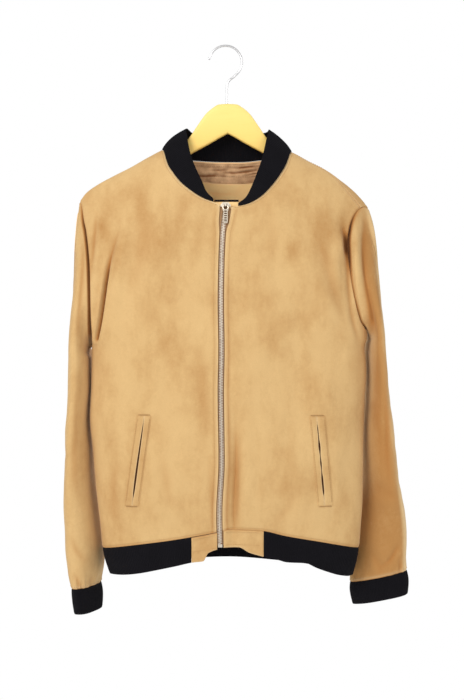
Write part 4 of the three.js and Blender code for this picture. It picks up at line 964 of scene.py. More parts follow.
def planed_wood(name):
    """Pale varnished wood, warmer towards the low ends of the arms."""
    made, tree, shader = blank(name, Roughness=0.5, Coat_Weight=0.12, Coat_Roughness=0.35)
    place = add(tree, "ShaderNodeTexCoord").outputs["Object"]
    part = add(tree, "ShaderNodeSeparateXYZ", {"Vector": place})
    warm = maths(tree, "MULTIPLY", stretch(tree, part.outputs[2], -0.112, -0.165), 0.85)
    rings = noise(tree, place, 26.0, 5.0, 0.55, (1.0, 6.0, 7.0))
    pores = noise(tree, place, 220.0, 3.0, 0.6, (0.12, 1.0, 1.0))
    colour = mixed(tree, warm, WOOD_PALE, WOOD_WARM)
    colour = mixed(tree, maths(tree, "MULTIPLY", stretch(tree, rings, 0.5, 0.66), 0.35), colour, WOOD_GRAIN)
    colour = mixed(tree, maths(tree, "MULTIPLY", stretch(tree, pores, 0.58, 0.72), 0.22), colour, WOOD_WARM)
    tree.links.new(colour, shader.inputs["Base Color"])
    tree.links.new(maths(tree, "MULTIPLY_ADD", pores, 0.2, 0.4), shader.inputs["Roughness"])
    relief(tree, shader, pores, 0.12, 0.0002)
    return made


SUEDE_SKIN = napped("sand_suede", SAND, SAND_LIGHT, SAND_DEEP, SAND_FOLD_SHADE, 0.5, PEACH, SAND_HIGHLIGHT)
RIB_KNIT = knitted("black_rib_knit")
FACING_CLOTH = woven("taupe_facing", TAUPE, TAUPE_DEEP, 1500.0, 0.75, 0.85)
LINING_CLOTH = woven("peach_lining", LINING_PEACH, LINING_PEACH_DEEP, 2200.0, 0.3, 0.6)
TAPE_CLOTH = woven("zip_tape_weave", TAPE_SAND, TAUPE_DEEP, 1300.0, 0.3, 0.85)
# the pocket slits' dark cloth is a painted shadow
SLIT_SHADOW_CLOTH = woven("pocket_slit_painted_shadow", SLIT_SHADOW_BROWN, SLIT_SHADOW_DEEP, 1800.0, 0.4, 0.9)
SAND_THREAD = spun("sand_thread", THREAD_SAND)
TAUPE_THREAD = spun("taupe_thread", THREAD_TAUPE)
POCKET_THREAD = spun("pocket_thread", THREAD_POCKET)
HOOK_STEEL = polished("hook_steel", STEEL, STEEL_SHADE, 0.3, 0.2)
ZIP_STEEL = polished("zip_metal", ZIP_METAL, ZIP_SHADE, 0.38, 0.3)
# dark metal finish painted as the shadow in the zip's holes
ZIP_HOLE_SHADOW = polished("zip_hole_painted_shadow", HOLE_SHADOW, HOLE_SHADOW_DEEP, 0.5, 0.3)
HANGER_WOOD = planed_wood("pale_varnished_wood")


# Panels: two fronts and the back

def folded(g, normals, front, seed, edges):
    """Adds creases and waves to a panel, calm at its seams, and gives the shaders their values: painted shade
    in the creases and darker patches.
    """
    depth, shade = crease_field(g, CREASES_FRONT if front else CREASES_BACK)
    calm = np.ones(g.shape[:2])
    tight = np.ones(g.shape[:2])
    for d in edges:
        calm *= soft(d, 16)
        tight *= soft(d + 1.5, 7)
    roll = sum(seam_roll(d) for d in edges)
    out = -depth * tight + rumple(g, seed) * calm + roll
    moved = g + normals * out[..., None]
    # darker patches, partly brushed nap and partly painted shade at folds and beside the armholes
    nap_and_shade = blobs(g, NAP_AND_SHADE_FRONT if front else NAP_AND_SHADE_BACK)
    edge = np.zeros(g.shape[:2])
    # painted shade in the creases, weaker on the back
    tone = 1.0 if front else 0.6
    return moved, {"painted_shade": np.clip(tone * shade * tight, 0, 0.8), "nap_and_shade": nap_and_shade, "edge": edge}


# z, strength of the painted shade beside the armhole seam, which also sets how deep the seam sinks, on the
# left and on the right
ARMHOLE_SHADE = {
    -1: [(-500, 0.55), (-470, 0.7), (-400, 0.75), (-340, 0.9), (-290, 0.8), (-268, 0.5), (-250, 0)],
    1: [(-470, 0.35), (-440, 0.35), (-380, 0.3), (-335, 0.85), (-300, 0.92), (-280, 0.6), (-262, 0.2)],
}


def from_side_shade(distance, z, sign, reach=3.7):
    """Painted shade beside an armhole seam, by the distance from it and the height."""
    return table(ARMHOLE_SHADE[sign], z, 1) * beside(distance, reach)


panels = {}
for sign, side in SIDES:
    row, col = np.meshgrid(steps(0, ROWS, ROWS * FINE), steps(0, 1, SIDE_COLS * FINE_ACROSS), indexing="ij")
    flat_form = front_form(sign, col, row)
    out = body_normal(flat_form, np.full(row.shape, True))
    across, up = along(flat_form, 1), along(flat_form, 0)
    from_zip, from_side = across, across[:, -1:] - across
    from_hem, from_shoulder = up, up[-1:, :] - up
    made, values = folded(flat_form, out, True, 11 if sign > 0 else 23,
                          [from_zip, from_side, from_hem, from_shoulder])
    neck_rows = row >= NECK_START
    # painted highlight along the zip edge, strongest at the neckline, and along the shoulder seam
    values["edge"] = np.where(neck_rows, 0.75 * beside(from_zip, 2.2), 0.25 * beside(from_zip, 1.5))
    values["edge"] += 0.3 * beside(from_shoulder, 2.0)
    # painted shade beside the zip stitching, the hem and the side seam
    values["painted_shade"] = np.clip(values["painted_shade"] + 0.28 * beside(from_zip - 7, 1.6) * ~neck_rows
                               + 0.25 * beside(from_hem, 1.2) + 0.2 * beside(from_side, 1.2), 0, 0.85)
    # painted shade beside the armhole seam and along the side seam under the arm; the armhole shade also
    # sinks the cloth
    front_seam_shade = (row >= LOW_ROWS) * from_side_shade(from_side, flat_form[..., 2], sign)
    underarm_shade = (row < LOW_ROWS + 0.5) * (0.6 if sign < 0 else 0.25) * beside(from_side, 3.6)
    values["painted_shade"] = np.clip(values["painted_shade"] + front_seam_shade + underarm_shade, 0, 0.93)
    made = made - out * (5.0 * front_seam_shade)[..., None] * beside(from_side, 5)[..., None]
    panels[sign] = {"grid": made, "normals": out, "from_zip": from_zip, "from_hem": from_hem}
    cloth("front_" + side + "_suede", "front_" + side, made, out, SUEDE, False, SUEDE_SKIN, values)

row, col = np.meshgrid(steps(0, ROWS, ROWS * BACK_FINE[0]), steps(0, BACK_COLS, BACK_COLS * BACK_FINE[1]),
                       indexing="ij")
back_flat = back_form(col, row)
split = table(SPLIT, back_flat[..., 2], 1)
back_out = body_normal(back_flat, back_flat[..., 1] < split)
across, up = along(back_flat, 1), along(back_flat, 0)
made, values = folded(back_flat, back_out, False, 37,
                      [across, across[:, -1:] - across, up, up[-1:, :] - up])
over_front = back_flat[..., 1] < split
# the part of the back that wraps forward takes an even share of the darker patch colour
values["nap_and_shade"] = np.where(over_front, 0.15, values["nap_and_shade"])
# painted shade along the top seam, and a painted highlight just below it
values["painted_shade"] = np.clip(values["painted_shade"] + 0.25 * np.exp(-((up[-1:, :] - up) / 1.2) ** 2), 0, 0.85)
values["edge"] = 0.35 * np.exp(-((up[-1:, :] - up - 3) / 1.6) ** 2)
panels[0] = {"grid": made, "normals": back_out}
cloth("back_suede", "back", made, back_out, SUEDE, False, SUEDE_SKIN, values)


# Sleeves and cuffs

PIT_SPARE = [2.4, 2.1, 1.5, 0.8, 0]
PIT_OUT = [0.8, 0.6, 0.4, 0.2, 0]
ROUND_STEPS = 12
CAP_STEPS = 56
ARM_STEPS = 132


def ring_point(sign, rows, z, turn):
    rho = np.radians(table(rows, z, 5))
    c = np.cos(turn)
    out = table(rows, z, 3) * np.sign(c) * np.abs(c) ** 0.9
    fore = table(rows, z, 4) * np.sin(turn)
    mid = table(rows, z, 1)
    x = mid + out * np.cos(rho) + fore * np.sin(rho)
    y = table(rows, z, 2) + out * np.sin(rho) - fore * np.cos(rho)
    x, y, zz = np.broadcast_arrays(sign * x, y, z + table(rows, z, 6) * (x - mid))
    return np.stack([x, y, zz], -1)


def sleeve_turns(sign, k):
    start = 22 if sign > 0 else 0
    ahead = start + (180 - start) * k / HIGH_ROWS
    behind = 180 + (180 + start) * (k - HIGH_ROWS) / HIGH_ROWS
    return np.radians(np.where(k <= HIGH_ROWS, ahead, behind))


def sleeve_form(sign):
    rows = SLEEVE_R if sign > 0 else SLEEVE_L
    k = np.arange(2 * HIGH_ROWS * ROUND_STEPS // 2) / (ROUND_STEPS / 2)
    ahead = k <= HIGH_ROWS
    edge_row = np.where(ahead, ROWS - k, ROWS - (2 * HIGH_ROWS - k))
    front = body(*np.moveaxis(through(EDGE[sign, -1], edge_row - LOW_ROWS), -1, 0))
    behind = body(*np.moveaxis(through(EDGE[sign, 1], edge_row - LOW_ROWS), -1, 0))
    p = np.where(ahead[:, None], front, behind)
    n = np.where(ahead[:, None], body_normal(front, np.full(k.shape, True)),
                 body_normal(behind, behind[..., 1] < table(SPLIT, behind[..., 2], 1)))
    turns = sleeve_turns(sign, k)
    tangent = unit(np.roll(p, -1, 0) - np.roll(p, 1, 0))
    away = unit(np.cross(n, tangent)) * sign
    from_pit = np.abs(k - HIGH_ROWS)
    spare = np.interp(from_pit, range(5), PIT_SPARE)
    rear = np.clip(np.minimum((k - HIGH_ROWS) / 1.0, (2 * HIGH_ROWS - 3 - k) / 1.0), 0, 1) * 0.9
    spare = np.maximum(spare, rear)
    shift = np.zeros_like(away)
    shift[:, 0] = sign * np.interp(from_pit, range(5), PIT_OUT)
    away = unit(away + shift)
    first = p + away * (SEAM / 2 + spare)[:, None]
    end = ring_point(sign, rows, np.array(float(rows[0][0])), turns)
    low = 0.5 - 0.5 * np.cos(turns)
    lead = (34 * (1 - low) + 13 * low) * np.where(k > HIGH_ROWS, 1.5, 1)
    fall = 190 * (1 - low) + 26 * low
    v = steps(0, 1, CAP_STEPS)[:, None]
    down = np.zeros_like(end)
    down[:, 2] = -1
    v3 = v[..., None]
    cap = (first * (2 * v3 ** 3 - 3 * v3 ** 2 + 1) + away * lead[:, None] * (v3 ** 3 - 2 * v3 ** 2 + v3)
           + end * (3 * v3 ** 2 - 2 * v3 ** 3) + down * fall[:, None] * (v3 ** 3 - v3 ** 2))
    z = steps(rows[0][0], rows[-1][0], ARM_STEPS)[1:]
    arm = ring_point(sign, rows, z[:, None], turns[None, :])
    return np.concatenate([cap, arm]), turns


def ribbed(g, normals, pitch_points, height, calm_rows=1):
    """Raises the ribs of a knit along a grid whose columns are evenly spaced."""
    m, n = g.shape[:2]
    wave = 0.5 - 0.5 * np.cos(2 * math.pi * np.arange(n) / pitch_points)
    rise = np.ones(m)
    rise[:calm_rows] = 0.25
    rise[-calm_rows:] = 0.4
    return g + normals * (height * (wave ** 0.7)[None, :] * rise[:, None] - height * 0.5)[..., None]


RIB_POINTS = 6
RIB_HEIGHT = 0.55


def even_places(line, spans, closed):
    """Places, as shares of a list of points, that are evenly spaced along it."""
    pts = np.concatenate([line, line[:1]]) if closed else line
    length = np.concatenate([[0], np.cumsum(np.linalg.norm(np.diff(pts, axis=0), axis=1))])
    count = spans if closed else spans + 1
    wanted = np.linspace(0, length[-1], spans + 1)[:count]
    return np.interp(wanted, length, np.linspace(0, 1, len(pts))), length[-1]


for sign, side in SIDES:
    form, turns = sleeve_form(sign)
    out = grid_normals(form, True, sign > 0)
    probe = out[CAP_STEPS + 20, 0, 0] * sign
    if probe < 0:
        out = -out
    facing_front = np.clip(-out[..., 1] * 1.6, 0, 1)
    facing_back = np.clip(out[..., 1] * 1.6, 0, 1)
    deep_f, dark_f = crease_field(form, CREASES_SLEEVE[sign][-1])
    deep_b, dark_b = crease_field(form, CREASES_SLEEVE[sign][1])
    facing_out = np.clip(out[..., 0] * sign * 1.8 - 0.8, 0, 1)
    looked_up = form[..., [1, 0, 2]] + [0, 0, LEFT_LOWER if sign < 0 else 0]
    deep_o, dark_o = crease_field(looked_up, CREASES_OUTSIDE)
    from_top = along(form, 0)
    from_cuff = from_top[-1:, :] - from_top
    calm = soft(from_top, 26) * soft(from_cuff, 10)
    shift = -(deep_f * facing_front + deep_b * facing_back + 0.7 * deep_o * facing_out) * soft(from_top, 12)
    waves = rumple(form, 51 if sign > 0 else 67, 0.9) * calm
    shift = shift + waves + seam_roll(from_top) + seam_roll(from_cuff)
    gathers = np.sin(turns * 17 + 2 * np.sin(turns * 3)) * 0.7 * beside(from_cuff - 7, 9)
    # painted shade beside the armhole seam on the front of the sleeve, which also sinks the cloth there
    sleeve_seam_shade = from_side_shade(from_top, form[..., 2], sign) * facing_front
    shift = shift - 5.0 * sleeve_seam_shade * beside(from_top, 5)
    moved = form + out * (shift + gathers)[..., None]
    turned_in = np.clip(-out[..., 0] * sign, 0, 1)
    reach_out = form[..., 0] * sign
    from_inner = reach_out - reach_out.min(1, keepdims=True)
    from_outer = reach_out.max(1, keepdims=True) - reach_out
    beside_body = soft(-form[..., 2] - 456, 14) * soft(form[..., 2] + 838, 30)
    # painted shade where the left sleeve lies against the body
    contact_shade = beside(from_inner, 3.4) * beside_body * (0.5 if sign < 0 else 0.0)
    apart = reach_out.min(1) - half_width(sign, form[:, 0, 2])
    nearer = np.clip(apart - 0.8, 0, 3.2) * beside_body[:, 0]
    nearer = np.convolve(np.pad(nearer, 6, mode="edge"), np.ones(13) / 13, mode="valid")
    moved = moved + out * (nearer[:, None] * turned_in ** 2)[..., None]
    drop = -form[..., 2]
    # painted highlight along the outer side of the right sleeve
    painted_rim_highlight = (sign > 0) * facing_front ** 0.3 * beside(from_outer, 6.0) * (0.55 + 0.45 * soft(drop - 380, 60))
    # painted shade: the right sleeve's face is darkened beyond a lit strip beside the armhole; the left
    # sleeve takes an even small share
    strip_end = np.interp(drop, [260, 320, 480, 560, 620], [213, 214, 228, 228, 200])
    past_strip = np.clip((reach_out - strip_end) / 8, 0, 1)
    painted_sleeve_shade = 0.05
    if sign > 0:
        painted_sleeve_shade = np.clip((drop - 245) / 60, 0, 1) * past_strip * np.clip((from_outer - 4) / 6, 0.15, 1)
    # painted highlight on the sleeves' inner side next to the body
    painted_inner_highlight = (0.8 if sign > 0 else 0.3) * beside(from_inner, 5) * beside_body
    # painted shade in the sleeves' creases, beside the armhole and at the cuff and top seams, and a painted
    # highlight just above the cuff; the side facing backwards takes a share of the darker patch colour
    dark = dark_f * facing_front + 0.6 * (dark_b * facing_back + dark_o * facing_out)
    values = {"painted_shade": np.clip(dark + sleeve_seam_shade + contact_shade + 0.3 * beside(from_cuff, 1.2)
                                + 0.2 * beside(from_top, 1.2), 0, 0.9),
              "nap_and_shade": np.clip(painted_sleeve_shade * facing_front + 0.25 * facing_back, 0, 1),
              "edge": np.clip(0.3 * beside(from_cuff - 3, 2) + 0.75 * painted_rim_highlight + painted_inner_highlight, 0, 1)}
    girth = np.arange(len(turns)) / len(turns) * 250
    uv = np.stack(np.broadcast_arrays(girth[None, :], from_top), -1)
    panels["sleeve", sign] = {"grid": moved, "normals": out, "from_cuff": from_cuff}
    cloth("sleeve_" + side + "_suede", "sleeve_" + side, moved, out, SUEDE, True, SUEDE_SKIN,
          values, uv)

    rows = CUFF_R if sign > 0 else CUFF_L
    dense = ring_point(sign, rows, np.array(float(rows[1][0])), np.linspace(0, 2 * math.pi, 721)[:-1])
    ribs = 84
    share, around_length = even_places(dense, ribs * RIB_POINTS, True)
    angle = share * 2 * math.pi
    z = steps(rows[0][0] - SEAM, rows[-1][0], 12)
    cuff = ring_point(sign, rows, z[:, None], angle[None, :])
    cuff_out = grid_normals(cuff, True, sign > 0)
    if (cuff_out[6, 0, 0] * sign) < 0:
        cuff_out = -cuff_out
    v = steps(0, 1, 12)[:, None]
    bulge = 0.8 * np.sin(v * math.pi) + 0.5 * np.sin(angle[None, :] * 5 + 3 * v) * v
    cuff = cuff + cuff_out * bulge[..., None]
    uv = np.stack(np.broadcast_arrays(share[None, :] * around_length, -z[:, None]), -1)
    knit = ribbed(cuff, cuff_out, RIB_POINTS, RIB_HEIGHT)
    cloth("cuff_" + side + "_rib", "cuff_" + side, knit, cuff_out, RIB, True, RIB_KNIT, None, uv)


# Collar

def neck_form(u):
    """Neckline from the left zip corner round the back to the right one, with a place for each point."""
    left = u <= 6
    right = u >= 12
    left_row = np.clip(u, 0, 6) + NECK_START + 1
    right_row = ROWS - np.clip(u - 12, 0, 6)
    zero = np.zeros_like(u)
    pl, pr = front_form(-1, zero, left_row), front_form(1, zero, right_row)
    column = SIDE_COLS + np.clip(u - 6, 0, 6)
    pb = back_form(column, zero + ROWS)
    nl, nr = body_normal(pl, np.full(u.shape, True)), body_normal(pr, np.full(u.shape, True))
    nb = body_normal(pb, pb[..., 1] < table(SPLIT, pb[..., 2], 1))
    p = np.where(left[:, None], pl, np.where(right[:, None], pr, pb))
    n = np.where(left[:, None], nl, np.where(right[:, None], nr, nb))
    at = np.where(left, u, np.where(right, 18 - u, 6 + 3 * (1 - np.abs((u - 6) / 3 - 1))))
    return p, n, at


dense_u = np.linspace(0, 18, 1400)
dense_line = neck_form(dense_u)[0]
COLLAR_RIBS = 172
share, collar_length = even_places(dense_line, COLLAR_RIBS * RIB_POINTS, False)
neck_p, _, neck_at = neck_form(share * 18)
rise, lean, roll = (table(COLLAR, neck_at, c) for c in (1, 2, 3))
inward = unit(np.stack([2 - neck_p[:, 0], -12 - neck_p[:, 1], 0 * rise], -1))
v = steps(0, 1, 14)[:, None]
curl = roll * 4 * v * (1 - v)
base = neck_p + unit(np.stack([inward[:, 0] * lean, inward[:, 1] * lean, rise], -1)) * 0.35
collar = np.stack([base[:, 0] + inward[:, 0] * (lean * v - curl * 0.7),
                   base[:, 1] + inward[:, 1] * (lean * v - curl * 0.7),
                   base[:, 2] + rise * v + curl * 0.5], -1)
collar_out = grid_normals(collar, False, False)
if np.mean(collar_out[2, 200:400, 1]) > 0:
    collar_out = -collar_out
uv = np.stack(np.broadcast_arrays((share * collar_length)[None, :], v * 43), -1)
cloth("collar_knit", "collar_rib", ribbed(collar, collar_out, RIB_POINTS, RIB_HEIGHT), collar_out, RIB, False,
      RIB_KNIT, None, uv)


# Hem: one rib band round from tab to tab, and the two suede tabs beside the zip

TAB_LEFT = -53.6
TAB_RIGHT = 59


def hem_form(side, x, v):
    top = table(HEM_FRONT if side < 0 else HEM_BACK, x, 1) - 1.5 * SEAM
    low = table(LOW_FRONT if side < 0 else LOW_BACK, x, 1)
    z = top + (low - top) * v
    return body(x, root_of(x, z, side))


def band_form(u, v):
    """u runs 0 to 1 along the left front, 1 to 3 round the back, 3 to 4 along the right front."""
    u, v = np.broadcast_arrays(u, v)
    z = HEM_CORNER_Z + (float(table(LOW_FRONT, LOW_EDGE_X, 1)) - HEM_CORNER_Z) * v
    wl, wr = half_width(-1, z), half_width(1, z)
    xl = TAB_LEFT + (-wl - TAB_LEFT) * gather(np.clip(u, 0, 1))
    xr = TAB_RIGHT + (wr - TAB_RIGHT) * gather(np.clip(4 - u, 0, 1))
    q = np.clip((u - 1) / 2, 0, 1)
    xb = np.where(q < 0.5, -wl, wr) * np.sin(np.abs(1 - 2 * q) * math.pi / 2) ** 0.85
    front_l, front_r, behind = hem_form(-1, xl, v), hem_form(-1, xr, v), hem_form(1, xb, v)
    return np.where((u < 1)[..., None], front_l, np.where((u > 3)[..., None], front_r, behind))


dense_u = np.linspace(0, 4, 3000)
dense_line = band_form(dense_u, np.array(0.5))
BAND_RIBS = 276
share, band_length = even_places(dense_line, BAND_RIBS * RIB_POINTS, False)
v = steps(0, 1, 10)[:, None]
band = band_form((share * 4)[None, :], v)
band_out = body_normal(band, band[..., 1] < table(SPLIT, band[..., 2], 1))
ripple = np.sin(share[None, :] * 61 + 2 * np.sin(share[None, :] * 17))
belly = 0.7 * np.sin(v * math.pi) + 0.8 * ripple * v * v
band = band + band_out * belly[..., None]
uv = np.stack(np.broadcast_arrays((share * band_length)[None, :], v * 45), -1)
cloth("hem_band_knit", "hem_rib", ribbed(band, band_out, RIB_POINTS, RIB_HEIGHT), band_out, RIB, False,
      RIB_KNIT, None, uv)

# each tab: node, x where it starts, x where it ends
TABS = [("hem_tab_left", TAB_LEFT + SEAM, -13.3), ("hem_tab_right", -3.2, TAB_RIGHT - SEAM)]
for node, from_x, to_x in TABS:
    x = np.linspace(from_x, to_x, 46)[None, :]
    v = steps(0, 1, 34)[:, None]
    tab = hem_form(-1, *np.broadcast_arrays(x, v))
    tab_out = body_normal(tab, np.full(tab.shape[:2], True))
    across, down = along(tab, 1), along(tab, 0)
    ends = [across, across[:, -1:] - across, down, down[-1:, :] - down]
    bump_out = sum(seam_roll(d, 0.45, 0.4) for d in ends)
    bump_out = bump_out + rumple(tab, 83, 0.5) * soft(ends[0], 8) * soft(ends[1], 8)
    moved = tab + tab_out * bump_out[..., None]
    # painted shade along the tab's top seam and a painted highlight along its lower edge
    values = {"painted_shade": 0.3 * beside(down, 1.2), "nap_and_shade": blobs(tab, NAP_AND_SHADE_FRONT) + 0.1,
              "edge": 0.35 * beside(ends[3], 1.6)}
    panels[node] = {"grid": moved, "normals": tab_out, "across": across, "down": down}
    cloth(node + "_suede", node, moved, tab_out, SUEDE, False, SUEDE_SKIN, values)


# Sewing: short stitches of thread laid along a path on the cloth

def stitch_parts(path, out, length=2.7, gap=0.9, radius=0.26, lift=0.12):
    """Small pointed capsules, one for each stitch, along a path in millimetres."""
    step = np.linalg.norm(np.diff(path, axis=0), axis=1)
    far = np.concatenate([[0], np.cumsum(step)])
    count = int(far[-1] // (length + gap))
    parts = []
    for i in range(count):
        places = np.array([0, 0.12, 0.5, 0.88, 1]) * length + i * (length + gap) + 0.5 * gap
        c = np.stack([np.interp(places, far, path[:, k]) for k in range(3)], -1)
        n = unit(np.stack([np.interp(places, far, out[:, k]) for k in range(3)], -1))
        t = unit(c[-1] - c[0])
        side = unit(np.cross(n, t))
        points = []
        for j, thick in enumerate((0.25, 0.9, 1.0, 0.9, 0.25)):
            raised = c[j] + n[j] * (lift + radius * (0.2 if j in (0, 4) else 0.75))
            for a in range(5):
                w = 2 * math.pi * a / 5
                points.append(raised + (side[j] * math.cos(w) + n[j] * math.sin(w)) * radius * thick)
        faces = tube_faces(5, 5)
        faces += [[4, 3, 2, 1, 0], [20, 21, 22, 23, 24]]
        parts.append((points, faces))
    return parts


def at_distance(panel, field, distance, rows=None):
    """Path over a panel's grid where a distance field of its columns has one value."""
    g, n, d = panel["grid"], panel["normals"], panel[field]
    points, outs = [], []
    for i in (range(g.shape[0]) if rows is None else rows):
        order = np.argsort(d[i])
        points.append([np.interp(distance, d[i][order], g[i, order, k]) for k in range(3)])
        outs.append([np.interp(distance, d[i][order], n[i, order, k]) for k in range(3)])
    return np.array(points), unit(np.array(outs))


def at_height(panel, field, distance, columns=None):
    """As at_distance, with the field read down the columns."""
    g, n, d = panel["grid"], panel["normals"], panel[field]
    points, outs = [], []
    for j in (range(g.shape[1]) if columns is None else columns):
        order = np.argsort(d[:, j])
        points.append([np.interp(distance, d[order, j], g[order, j, k]) for k in range(3)])
        outs.append([np.interp(distance, d[order, j], n[order, j, k]) for k in range(3)])
    return np.array(points), unit(np.array(outs))


def sew(name, parts, material):
    points, faces = joined(parts)
    return mesh_object(name, points, faces, material)


sewing = []
for sign in (1, -1):
    panel = panels[sign]
    below_neck = range(2, NECK_START * FINE - 1)
    beside_neck = range(NECK_START * FINE + 1, ROWS * FINE - 2)
    sewing += stitch_parts(*at_distance(panel, "from_zip", 6.5, below_neck))
    sewing += stitch_parts(*at_distance(panel, "from_zip", 4.2, beside_neck))
    sewing += stitch_parts(*at_height(panel, "from_hem", 3.6, range(1, SIDE_COLS * FINE_ACROSS - 2)))
for node in ("hem_tab_left", "hem_tab_right"):
    tab = panels[node]
    sewing += stitch_parts(*at_height(tab, "down", 3.2, range(2, 44)))
    sewing += stitch_parts(*at_height(tab, "down", float(tab["down"][-1].min()) - 3.5, range(2, 44)))
back = panels[0]
back["from_top"] = along(back["grid"], 0)[-1:, :] - along(back["grid"], 0)
back["from_hem"] = along(back["grid"], 0)
sewing += stitch_parts(*at_height(back, "from_top", 3.4, range(2, back["grid"].shape[1] - 3)))
sewing += stitch_parts(*at_height(back, "from_hem", 3.6, range(1, back["grid"].shape[1] - 2)))
for sign in (1, -1):
    arm = panels["sleeve", sign]
    loop = [j for j in range(arm["grid"].shape[1])] + [0]
    sewing += stitch_parts(*at_height(arm, "from_cuff", 3.6, loop))
sew("sand_stitching", sewing, SAND_THREAD)


# Pockets: two rounded welts either side of a slit, a dark sheet painted as the shadow in the opening, with a
# bar of stitches at each end

def surface_of(panel):
    g = panel["grid"]
    m, n = g.shape[:2]
    i = ids(m, n, False)
    faces = np.stack([i[:-1, :-1], i[:-1, 1:], i[1:, 1:], i[1:, :-1]], -1).reshape(-1, 4)
    return BVHTree.FromPolygons(g.reshape(-1, 3).tolist(), faces.tolist())


def laid(tree, x, z):
    """The point of a panel straight behind x, z, seen from in front."""
    hit, normal, _, _ = tree.ray_cast(Vector((x, -400, z)), Vector((0, 1, 0)))
    if hit is None:
        hit, normal, _, _ = tree.find_nearest(Vector((x, -60, z)))
    if normal.y > 0:
        normal = -normal
    return np.array(hit), np.array(normal)


WELT = 1.4
# name, slit top x, z, slit bottom x, z, inner breadth, outer breadth, panel; then how far the slit gapes
POCKETS = [
    ("pocket_right", 140.5, -588, 153.5, -727, 10, 13, 1,
     [(0, 0.1), (0.08, 0.3), (0.14, 1.6), (0.22, 1.3), (0.34, 3.2), (0.44, 1.2), (0.52, 2.4),
      (0.6, 1.2), (0.7, 3.0), (0.84, 2.6), (0.9, 0.4), (1, 0.1)]),
    ("pocket_left", -126, -587, -145.5, -727, 10, 11, -1,
     [(0, 0.1), (0.06, 0.4), (0.14, 1.4), (0.3, 2.2), (0.5, 2.8), (0.68, 3.2), (0.84, 2.4),
      (0.92, 0.6), (1, 0.1)]),
]
pocket_sewing = []
for name, x0, z0, x1, z1, inner, outer, sign, gape in POCKETS:
    tree = surface_of(panels[sign])
    t = steps(0, 1, 60)
    half = table(gape, t, 1) / 2
    for part, direction, breadth in (("inner", -1, inner), ("outer", 1, outer)):
        q = steps(0, 1, 12)
        grid, outs = [], []
        for i, ti in enumerate(t):
            line, lined = [], []
            for qi in q:
                away = half[i] + (breadth - half[i] + 0.8) * qi
                x = x0 + (x1 - x0) * ti + sign * direction * away
                p, n = laid(tree, x, z0 + (z1 - z0) * ti)
                puff = 0.5 + (WELT - 0.2) * max(0, 1 - (2 * qi - 0.85) ** 2) ** 0.5
                puff *= 0.55 + 0.45 * min(1, 14 * min(ti, 1 - ti))
                line.append(p + n * (puff + 0.15))
                lined.append(n)
            grid.append(line)
            outs.append(lined)
        grid, outs = np.array(grid), np.array(outs)
        slit_side = np.exp(-(np.broadcast_to(q, grid.shape[:2]) * breadth / 1.2) ** 2)
        far_side = np.exp(-((1 - np.broadcast_to(q, grid.shape[:2])) * breadth / 1.1) ** 2)
        ends = np.exp(-(np.minimum(t, 1 - t) * 145 / 1.1) ** 2)[:, None]
        # painted shade along the welts' outer sides and ends, and a painted highlight on the lip beside the
        # slit
        values = {"painted_shade": np.clip(0.1 * far_side + 0.1 * ends, 0, 0.7),
                  "edge": 0.35 * slit_side, "nap_and_shade": np.full(grid.shape[:2], 0.08)}
        piece = name + "_" + part
        cloth(piece + "_welt", piece, grid, outs, 0.45, False, SUEDE_SKIN, values)
        path = grid[2:-2, 10]
        pocket_sewing += stitch_parts(path, outs[2:-2, 10])
    # the slit: a dark sheet laid on the panel as the painted shadow of the pocket opening
    slit, slit_out = [], []
    for i, ti in enumerate(t):
        x, z = x0 + (x1 - x0) * ti, z0 + (z1 - z0) * ti
        w = half[i] + 0.9
        both = [laid(tree, x + k * w, z) for k in (-1, 0, 1)]
        slit.append([p + n * 0.22 for p, n in both])
        slit_out.append([n for p, n in both])
    cloth(name + "_slit_shadow", None, np.array(slit), np.array(slit_out), 0.12, False, SLIT_SHADOW_CLOTH,
          {"painted_shade": np.zeros((61, 3))})
    for z, x in ((z0 + 1.5, x0), (z1 - 1.5, x1)):
        to_left, to_right = (inner, outer) if sign > 0 else (outer, inner)
        reach = np.linspace(x - to_left + 1, x + to_right - 1, 14)
        bar = [laid(tree, xi, z) for xi in reach]
        for lift in (0.5, 0.9):
            pocket_sewing += stitch_parts(np.array([p for p, n in bar]) + [0, 0, lift * 0.8 - 0.5],
                                          np.array([n for p, n in bar]), 2.0, 0.35, 0.32, lift)
sew("pocket_stitching", pocket_sewing, POCKET_THREAD)


# Inside of the neck: facing and lining follow the back, with small wrinkles across

def back_at(column, row):
    """Points of the finished back panel and the directions out of it, between the points of its grid."""
    i, j = row * BACK_FINE[0], column * BACK_FINE[1]
    i0 = np.clip(np.floor(i).astype(int), 0, back["grid"].shape[0] - 2)
    j0 = np.clip(np.floor(j).astype(int), 0, back["grid"].shape[1] - 2)
    a, b = (i - i0)[..., None], (j - j0)[..., None]
    read = []
    for g in (back["grid"], back["normals"]):
        low = (1 - b) * g[i0, j0] + b * g[i0, j0 + 1]
        high = (1 - b) * g[i0 + 1, j0] + b * g[i0 + 1, j0 + 1]
        read.append((1 - a) * low + a * high)
    return read[0], unit(read[1])


